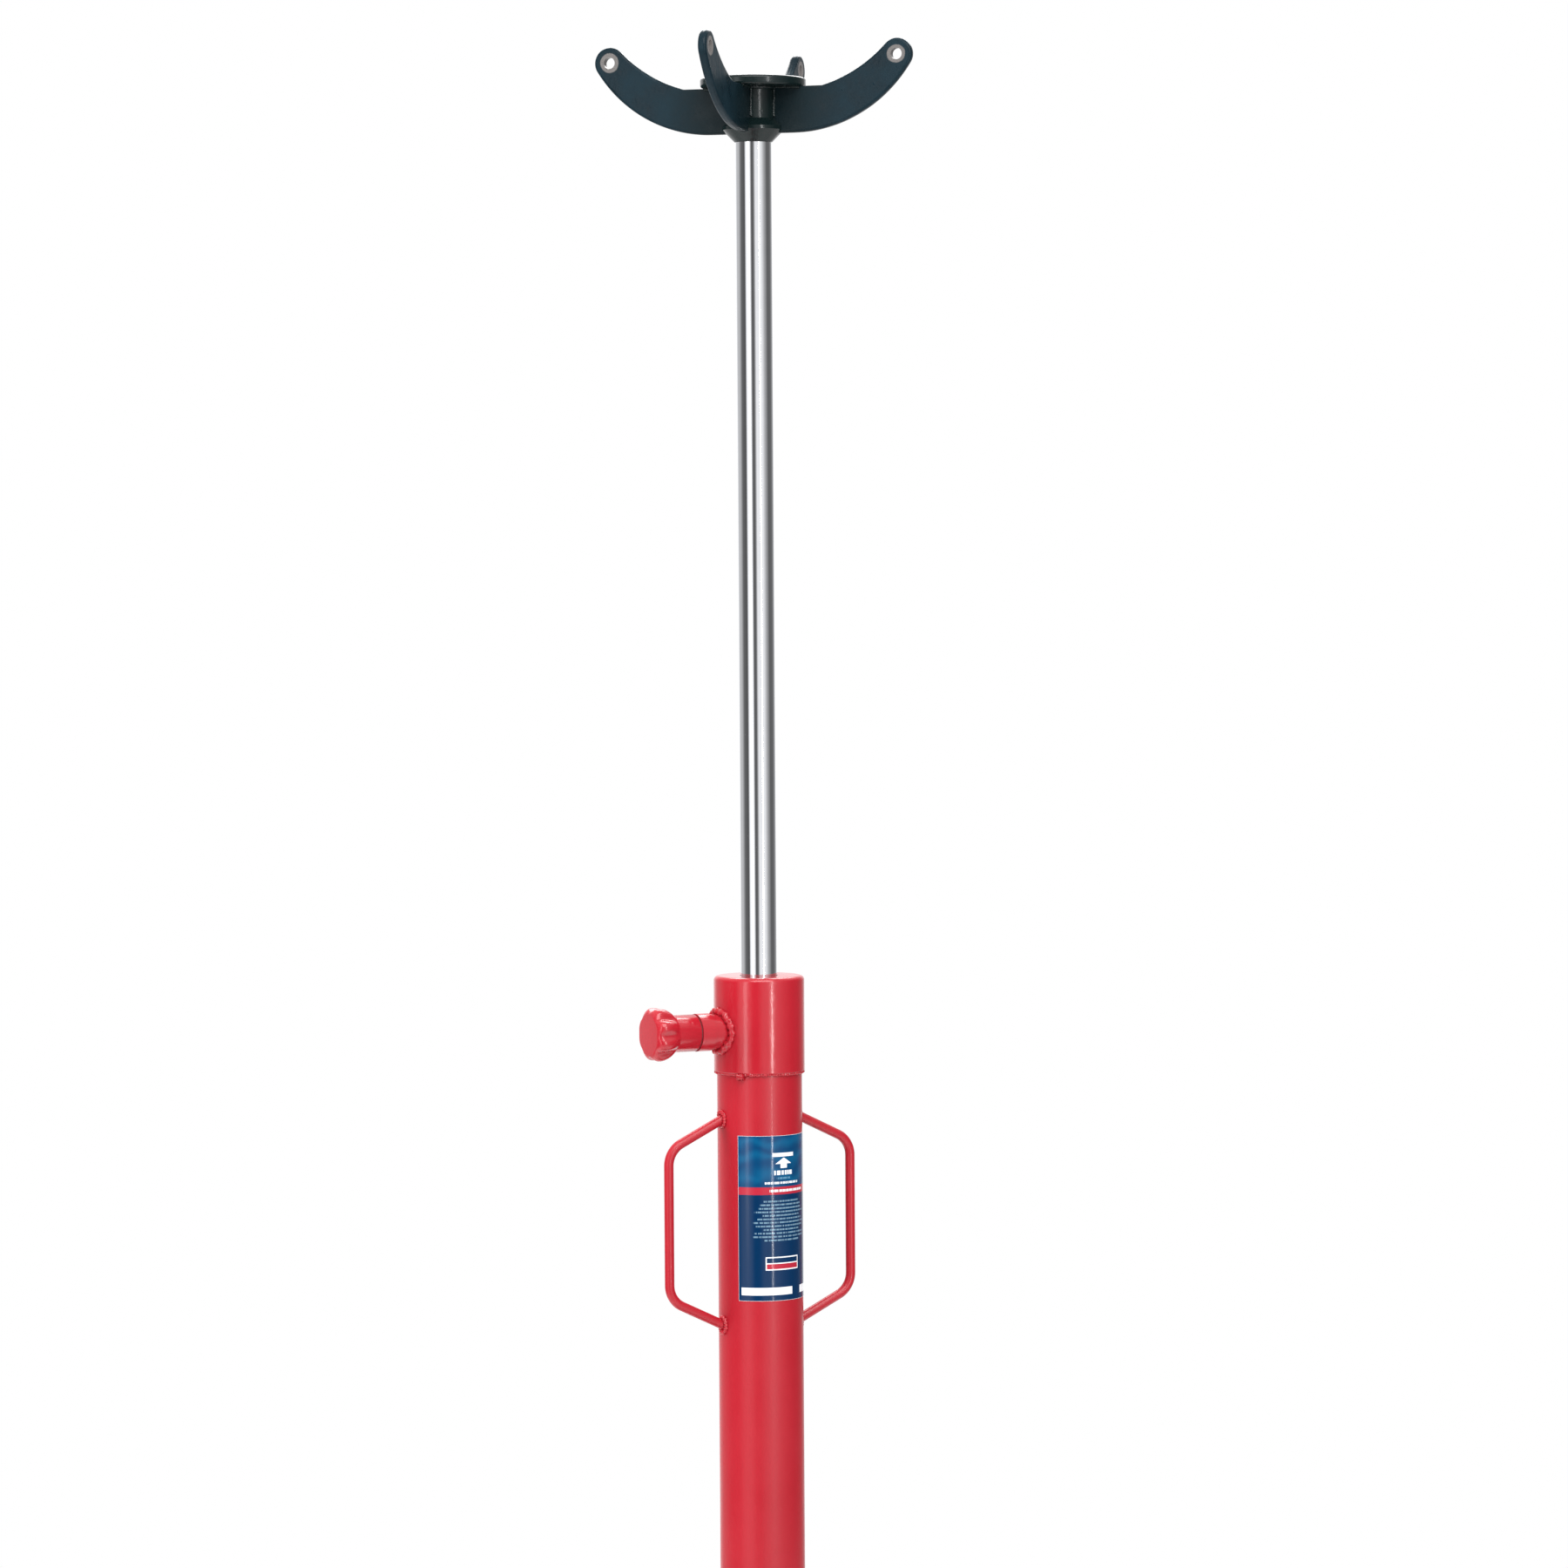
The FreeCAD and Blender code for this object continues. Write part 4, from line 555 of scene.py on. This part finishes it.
# Handles: round steel bar bent to a grip, one on each side of the column, welded to the pipe at both
# ends and sprayed with it.
GRIP_RISE, GRIP_PROUD, GRIP_BEAD_WIDE, GRIP_BEAD_TALL = 0.108, 0.0006, 0.0066, 0.0076
dress(red_enamel, "handle_left", "handle_right")
grip_low, grip_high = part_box("handle_right")
grip_middle = (grip_low.z + grip_high.z) / 2
handle_beads = [coped_loop(side, column_radius, GRIP_PROUD, GRIP_BEAD_WIDE, GRIP_BEAD_TALL,
                           grip_middle + end * GRIP_RISE, 40) for side in (-1, 1) for end in (-1, 1)]
lay_welds("handle_welds", handle_beads, wet_enamel, "frame", width=0.0048, pitch=0.003, ripple=0.0005,
          wander=0.001, slot="red_paint")


# Rating label: printed vinyl sheet stuck round the front of the column. The print is plain shapes, a
# lifting sign, rows of broken dashes and empty boxes, on two blues with a red band between them.

def make_print_group():
    """Shared print: rows of solid or broken ink inside a rectangle, in millimetres across and up."""
    group, taken, given = open_group(
        "print rows", "ShaderNodeTree",
        [("Across", "Float", 0), ("Up", "Float", 0), ("Centre", "Float", 0), ("Half Width", "Float", 10),
         ("Low", "Float", 0), ("High", "Float", 10), ("Pitch", "Float", 10), ("Ink", "Float", 10),
         ("Taper", "Float", 0), ("Break", "Float", 0), ("Seed", "Float", 0)],
        [("Mask", "Float")])
    seed_step, longest_cut = 7.31, 0.35
    dash_scale, dash_roughness, gap_level, gap_sharpness = 0.55, 0.75, 0.46, 14
    less, times, parted = (partial(maths, group, sign) for sign in ("SUBTRACT", "MULTIPLY", "DIVIDE"))

    def inked(distance, sharpness=5):
        """Ink where the distance is above zero, with an edge that fades over a fraction of a millimetre."""
        return add_node(group, "ShaderNodeMath", {0: distance, 1: sharpness, 2: 0.5}, use_clamp=True,
                        operation="MULTIPLY_ADD").outputs[0]

    height = less(taken["Up"], taken["Low"])
    rows = parted(height, taken["Pitch"])
    from_middle = less(maths(group, "FRACT", rows), 0.5)
    off_row = times(maths(group, "ABSOLUTE", from_middle), taken["Pitch"])
    in_row = inked(less(parted(taken["Ink"], 2), off_row))
    above = inked(height)
    below = inked(less(taken["High"], taken["Up"]))
    row_seed = maths(group, "ADD", times(maths(group, "FLOOR", rows), seed_step), taken["Seed"])
    uneven = add_node(group, "ShaderNodeTexWhiteNoise", {"W": row_seed}, noise_dimensions="1D")
    shorter = times(times(uneven.outputs["Value"], longest_cut), taken["Break"])
    share = parted(height, less(taken["High"], taken["Low"]))
    narrower = times(share, taken["Taper"])
    half = times(taken["Half Width"], less(less(1, shorter), narrower))
    aside = maths(group, "ABSOLUTE", less(taken["Across"], taken["Centre"]))
    within = inked(less(half, aside))
    spot = add_node(group, "ShaderNodeCombineXYZ", {0: taken["Across"], 1: row_seed})
    dashes = add_node(group, "ShaderNodeTexNoise", {"Vector": spot.outputs[0], "Scale": dash_scale,
                                                    "Detail": 3, "Roughness": dash_roughness})
    gap = inked(less(gap_level, dashes.outputs["Fac"]), gap_sharpness)
    unbroken = less(1, times(gap, taken["Break"]))
    mask = times(times(in_row, within), times(above, below))
    group.links.new(times(mask, unbroken), given["Mask"])
    return group


print_rows = make_print_group()
LABEL_MIDDLE = math.radians(-86)
LABEL_HALF_ANGLE = math.radians(62.5)
LABEL_THICKNESS = 0.0003
# the white border, the foot of the upper blue, half the bands' width, and a row taller than the label
BORDER, PANEL_FOOT, BAND_HALF, SOLID_ROW = 0.22, 119, 60, 200
NAVY, SKY, RED_INK = (0.0003, 0.020, 0.068), (0.0015, 0.070, 0.165), (0.36, 0.018, 0.036)
SKY_SHADE, PAPER = (0.001, 0.040, 0.115), (0.74, 0.76, 0.78)
PALE, DULL = (0.08, 0.22, 0.34), (0.13, 0.23, 0.31)
# each print: ink, centre, half width, low, high, pitch, ink height, taper, broken, seed; in millimetres
LABEL_PRINT = [
    (RED_INK, 0, BAND_HALF, 111, PANEL_FOOT, 8, 8, 0, 0, 0),
    (PAPER, 1.5, 13, 150.5, 154.5, 4, 4, 0, 0, 0),
    (PAPER, 1.5, 10, 143, 149.5, 6.5, 6.5, 1, 0, 0),
    (PAPER, 1.5, 4, 138.5, 143.5, 5, 5, 0, 0, 0),
    (PAPER, 1.5, 17, 131, 136.5, 5.5, 4.6, 0, 1, 2.7),
    (PALE, 1.5, 9, 126.5, 129.5, 3, 2, 0, 1, 5.1),
    (PAPER, 1, 26, 121.2, 125.2, 4, 2.3, 0, 1, 9.4),
    (PAPER, 8, 30, 113, 117, 4, 2.6, 0, 1, 1.9),
    (DULL, 1, 34, 61.5, 105.9, 3.7, 1.7, 0, 1, 3.3),
    (PAPER, 1, 20.5, 32, 46, 14, 14, 0, 0, 0),
    (RED_INK, 1, 19.3, 33.2, 38.6, 5.4, 5.4, 0, 0, 0),
    (NAVY, 1, 19.3, 39.6, 44.8, 5.2, 5.2, 0, 0, 0),
    (PAPER, -16.7, 28.7, 6, 14, 8, 8, 0, 0, 0),
    (PAPER, 35.5, 10, 6, 14, 8, 8, 0, 0, 0),
]
label_low, label_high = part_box("rating_label")
label_radius = column_radius + LABEL_THICKNESS
label_tall = (label_high.z - label_low.z) * 1000
label_half_width = LABEL_HALF_ANGLE * label_radius * 1000
vinyl = finish_of("printed vinyl", NAVY, NAVY, (0.11, 0.17), bump=0.04, drift=20, grain=300,
                  bump_reach=0.0003, specular=0.28)
tree = vinyl.node_tree
place = add_node(tree, "ShaderNodeTexCoord").outputs["Object"]
facing = add_node(tree, "ShaderNodeMapping",
                  {"Vector": place, "Rotation": (0, 0, -LABEL_MIDDLE), "Location": (0, 0, -label_low.z)},
                  vector_type="POINT")
split = add_node(tree, "ShaderNodeSeparateXYZ", {0: facing.outputs["Vector"]}).outputs
across = maths(tree, "MULTIPLY", maths(tree, "ARCTAN2", split["Y"], split["X"]), label_radius * 1000)
up = maths(tree, "MULTIPLY", split["Z"], 1000)
spot = add_node(tree, "ShaderNodeCombineXYZ", {0: across, 1: up}).outputs[0]
swirl = add_node(tree, "ShaderNodeTexWave", {"Vector": spot, "Scale": 0.018, "Distortion": 9, "Detail": 2.5,
                                             "Detail Scale": 1.2}, wave_type="RINGS")
upper_blue = blend(tree, swirl.outputs["Fac"], SKY_SHADE, SKY)


def print_mask(centre, half_width, low, high, pitch, ink, taper=0, broken=0, seed=0):
    """Mask of one print on the label."""
    return add_node(tree, "ShaderNodeGroup",
                    {"Across": across, "Up": up, "Centre": centre, "Half Width": half_width, "Low": low,
                     "High": high, "Pitch": pitch, "Ink": ink, "Taper": taper, "Break": broken, "Seed": seed},
                    node_tree=print_rows).outputs["Mask"]


top_panel = print_mask(0, BAND_HALF, PANEL_FOOT, SOLID_ROW, SOLID_ROW, SOLID_ROW)
printed = blend(tree, top_panel, tree.nodes["tone"].outputs["Result"], upper_blue)
for ink, *place_and_size in LABEL_PRINT:
    printed = blend(tree, print_mask(*place_and_size), printed, ink)
inside = print_mask(0, label_half_width - BORDER, BORDER, label_tall - BORDER, SOLID_ROW, SOLID_ROW)
printed = blend(tree, maths(tree, "SUBTRACT", 1, inside), printed, PAPER)
tree.links.new(printed, tree.nodes["Principled BSDF"].inputs["Base Color"])
dress(vinyl, "rating_label")

# Legs: rectangular tube coped to the column and welded all round, stiffened by a gusset on each, with
# a plate welded under each end for its castor and a plastic plug in the open end.
LEG_FOOT, LEG_TOP, LEG_HALF, BLOCK_TOP = 0.110, 0.150, 0.030, 0.074
GUSSET_HALF, GUSSET_REACH, GUSSET_TOP = 0.003, 0.115, 0.220
PLATE_NEAR, PLATE_FAR = 0.291, 0.369
# how far each bead's middle line stands off the steel, and how far short of an edge it stops
RING_PROUD, RING_CLEAR, BLOCK_PROUD, VALLEY_PROUD = 0.0008, 0.0006, 0.0012, 0.001
GUSSET_PROUD, FLAT_PROUD, WELD_SHORT = 0.0005, 0.0004, 0.001
dress(red_enamel, "foot_block", "foot_plates", "leg_gussets",
      *(f"leg_{corner}" for corner in ("rear_right", "rear_left", "front_left", "front_right")))
black_plastic = finish_of("black plastic", (0.020, 0.020, 0.021), (0.013, 0.013, 0.014), (0.36, 0.52),
                          bump=0.15, drift=40, grain=450, specular=0.4)
dress(black_plastic, "leg_end_caps")
leg_welds = [ring_path(column_radius + RING_PROUD, height)
             for height in (LEG_TOP + RING_CLEAR, LEG_FOOT - RING_CLEAR)]
gusset_welds = []
plate_beads = []
for degrees in DIAGONALS:
    leg_welds.append([at_bearing(degrees + 45, column_radius + VALLEY_PROUD, 0, height)
                      for height in (LEG_FOOT, LEG_TOP)])
    for side in (-1, 1):
        aside = side * (GUSSET_HALF + GUSSET_PROUD)
        foot = math.sqrt(column_radius ** 2 - aside ** 2) + GUSSET_PROUD
        gusset_welds.append([at_bearing(degrees, foot, aside, height)
                             for height in (LEG_TOP, GUSSET_TOP - WELD_SHORT)])
        gusset_welds.append([at_bearing(degrees, out, aside, LEG_TOP + FLAT_PROUD)
                             for out in (foot, GUSSET_REACH - WELD_SHORT)])
        plate_beads.append([at_bearing(degrees, out, side * (LEG_HALF + FLAT_PROUD), LEG_FOOT + FLAT_PROUD)
                            for out in (PLATE_NEAR + WELD_SHORT, PLATE_FAR - WELD_SHORT)])
block_bead = ring_path(column_radius + BLOCK_PROUD, BLOCK_TOP + RING_CLEAR)
for name, paths, width, wander in (("leg_welds", leg_welds, 0.0062, 0.0010),
                                   ("gusset_welds", gusset_welds, 0.0050, 0.0009),
                                   ("foot_plate_welds", plate_beads, 0.0048, 0.0009),
                                   ("block_weld", [block_bead], 0.0066, 0.0010)):
    lay_welds(name, paths, red_enamel, "frame", width=width, ripple=0.0002, wander=wander, slot="red_paint")

# Castors: zinc-plated top plate, bolts, and a fork pressed from sheet, with steel balls in the race
# and a wheel moulded in black nylon.
zinc = finish_of("zinc plate", (0.50, 0.51, 0.52), (0.33, 0.34, 0.35), (0.26, 0.46), bump=0.1, metallic=1.0,
                 drift=45, grain=420)
nylon = finish_of("black nylon", (0.016, 0.016, 0.017), (0.009, 0.009, 0.0095), (0.34, 0.56), bump=0.12,
                  drift=30, grain=420, specular=0.35)
dress(zinc, "castor_plates", "castor_bolts")
dress(ground_steel, "castor_balls")
for corner in ("front_left", "front_right", "rear_left", "rear_right"):
    dress(zinc, f"castor_fork_{corner}", f"castor_axle_{corner}")
    dress(nylon, f"castor_wheel_{corner}")


# Foot pump: steel barrel with a hexagon gland screwed into the foot block, and a chromed plunger that
# an open coil spring holds up against the pedal's roller.

def make_spring_tree():
    """Compression spring with its end coils closed, wound about local Z from its foot."""
    tree, taken, given = open_group(
        "wound spring", "GeometryNodeTree",
        [("Place", "Geometry", None), ("Coil Radius", "Float", 0.010), ("Wire", "Float", 0.002),
         ("Height", "Float", 0.060), ("Open Turns", "Float", 7.0), ("Finish", "Material", None)],
        [("Spring", "Geometry")])
    steps_per_turn, wire_sides = 40, 14
    half_wire = maths(tree, "DIVIDE", taken["Wire"], 2)
    open_height = maths(tree, "SUBTRACT", taken["Height"], maths(tree, "MULTIPLY", taken["Wire"], 3))
    open_foot = maths(tree, "MULTIPLY", taken["Wire"], 1.5)
    top_foot = maths(tree, "SUBTRACT", taken["Height"], open_foot)
    joined = add_node(tree, "GeometryNodeJoinGeometry")
    for turns, rise, foot in ((1.0, taken["Wire"], half_wire), (taken["Open Turns"], open_height, open_foot),
                              (1.0, taken["Wire"], top_foot)):
        coil = add_node(tree, "GeometryNodeCurveSpiral",
                        {"Resolution": steps_per_turn, "Rotations": turns, "Height": rise,
                         "Start Radius": taken["Coil Radius"], "End Radius": taken["Coil Radius"]})
        lift = add_node(tree, "ShaderNodeCombineXYZ", {"Z": foot})
        lifted = add_node(tree, "GeometryNodeTransform",
                          {"Geometry": coil.outputs["Curve"], "Translation": lift.outputs[0]})
        tree.links.new(lifted.outputs["Geometry"], joined.inputs["Geometry"])
    wire = add_node(tree, "GeometryNodeCurvePrimitiveCircle", {"Resolution": wire_sides, "Radius": half_wire})
    drawn = add_node(tree, "GeometryNodeCurveToMesh",
                     {"Curve": joined.outputs[0], "Profile Curve": wire.outputs["Curve"], "Fill Caps": True})
    smooth = add_node(tree, "GeometryNodeSetShadeSmooth", {"Geometry": drawn.outputs["Mesh"]})
    end_in_material(tree, smooth.outputs["Geometry"], taken["Finish"], given["Spring"])
    return tree


COIL_RADIUS, SPRING_WIRE, OPEN_TURNS, PLUNGER_HEAD, SPRING_SLACK = 0.0103, 0.0022, 7.0, 0.006, 0.0004
spring_steel = finish_of("spring steel", (0.16, 0.16, 0.17), (0.08, 0.08, 0.085), (0.30, 0.48), bump=0.1,
                         metallic=1.0, drift=80, grain=600)
dress(ground_steel, "pump_barrel")
barrel_low, barrel_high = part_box("pump_barrel")
plunger_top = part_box("pump_plunger")[1].z
pump_axis = Vector(((barrel_low.x + barrel_high.x) / 2, (barrel_low.y + barrel_high.y) / 2, barrel_high.z))
spring_tall = plunger_top - PLUNGER_HEAD - barrel_high.z - SPRING_SLACK
spring_mesh = grown_mesh("pump_coil", bpy.data.meshes.new("pump_coil place"), make_spring_tree(),
                         Matrix.Translation(pump_axis + Vector((0, 0, SPRING_SLACK / 2))),
                         coil_radius=COIL_RADIUS, wire=SPRING_WIRE, height=spring_tall,
                         open_turns=OPEN_TURNS, finish=spring_steel)
pump_coil = fit_piece("pump_coil", spring_mesh, "frame", "pump_spring", slot="spring_steel")
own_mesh(pump_coil)


# Pump pedal: two plates on a pivot tube between welded cheeks, a roller that presses the plunger, and
# a step plate that carries a ribbed rubber tread.

def make_tread_tree():
    """Rubber block with round ribs laid across it, spaced evenly along local Y from its middle."""
    tree, taken, given = open_group(
        "ribbed tread", "GeometryNodeTree",
        [("Block", "Geometry", None), ("Ribs", "Int", 9), ("Rib Pitch", "Float", 0.0065),
         ("Rib Radius", "Float", 0.002), ("Rib Length", "Float", 0.08), ("Rib Height", "Float", 0.0),
         ("Finish", "Material", None)],
        [("Tread", "Geometry")])
    rib = add_node(tree, "GeometryNodeMeshCylinder",
                   {"Vertices": 16, "Radius": taken["Rib Radius"], "Depth": taken["Rib Length"]})
    span = maths(tree, "MULTIPLY", maths(tree, "SUBTRACT", taken["Ribs"], 1), taken["Rib Pitch"])
    step = add_node(tree, "ShaderNodeCombineXYZ", {"Y": taken["Rib Pitch"]})
    first = add_node(tree, "ShaderNodeCombineXYZ",
                     {"Y": maths(tree, "MULTIPLY", span, -0.5), "Z": taken["Rib Height"]})
    row = add_node(tree, "GeometryNodeMeshLine",
                   {"Count": taken["Ribs"], "Start Location": first.outputs[0], "Offset": step.outputs[0]})
    laid = add_node(tree, "GeometryNodeInstanceOnPoints",
                    {"Points": row.outputs["Mesh"], "Instance": rib.outputs["Mesh"],
                     "Rotation": (0, math.pi / 2, 0)})
    joined = add_node(tree, "GeometryNodeJoinGeometry", {"Geometry": laid.outputs["Instances"]})
    tree.links.new(taken["Block"], joined.inputs["Geometry"])
    end_in_material(tree, joined.outputs["Geometry"], taken["Finish"], given["Tread"])
    return tree


PEDAL_RISE = math.radians(12.5)
TREAD_LONG, TREAD_WIDE, TREAD_NEAR, TREAD_FOOT, TREAD_TOP = 0.062, 0.088, -0.130, 0.0145, 0.0225
RIBS, RIB_PITCH, RIB_RADIUS, RIB_SHORT, BLOCK_EDGE = 9, 0.0064, 0.0019, 0.005, 0.0012
dress(red_enamel, "pedal_bracket", "pedal_lever")
dress(zinc, "pedal_pin")
dress(ground_steel, "pedal_roller")
pivot_low, pivot_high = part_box("pedal_pin")
pivot = (pivot_low + pivot_high) / 2
pedal_frame = Matrix.Translation((0, pivot.y, pivot.z)) @ Matrix.Rotation(-PEDAL_RISE, 4, "X")
block_tall = TREAD_TOP - RIB_RADIUS - TREAD_FOOT
block = bmesh.new()
bmesh.ops.create_cube(block, size=1)
bmesh.ops.scale(block, verts=block.verts, vec=(TREAD_WIDE, TREAD_LONG, block_tall))
bmesh.ops.bevel(block, geom=block.edges[:], offset=BLOCK_EDGE, segments=3, affect="EDGES")
block_mesh = bpy.data.meshes.new("tread block")
block.to_mesh(block_mesh)
block.free()
tread_place = pedal_frame @ Matrix.Translation((0, TREAD_NEAR - TREAD_LONG / 2, TREAD_FOOT + block_tall / 2))
tread_mesh = grown_mesh("ribbed_tread", block_mesh, make_tread_tree(), tread_place, ribs=RIBS,
                        rib_pitch=RIB_PITCH, rib_radius=RIB_RADIUS, rib_length=TREAD_WIDE - RIB_SHORT,
                        rib_height=block_tall / 2, finish=rubber)
shade_smooth(tread_mesh, 35)
fit_piece("ribbed_tread", tread_mesh, "pedal", "pedal_tread", slot="tread_rubber")

CHEEK_FACES = (0.0215, 0.0285)
cheek_low, cheek_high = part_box("pedal_bracket")
cheek_beads = []
for side in (-1, 1):
    for aside in CHEEK_FACES:
        depth = -math.sqrt(column_radius ** 2 - aside ** 2) - FLAT_PROUD
        cheek_beads.append([Vector((side * aside, depth, height))
                            for height in (cheek_low.z + WELD_SHORT, cheek_high.z - WELD_SHORT)])
lay_welds("cheek_welds", cheek_beads, red_enamel, "frame", width=0.0048, ripple=0.0002, wander=0.0009,
          slot="red_paint")

# Release valve: ground spindle through a plated hexagon gland in the foot block, turned by its own
# enamelled pedal. The plated relief plug stands on the left.
dress(red_enamel, "release_pedal")
dress(zinc, "release_gland", "relief_screw")
dress(ground_steel, "release_spindle")
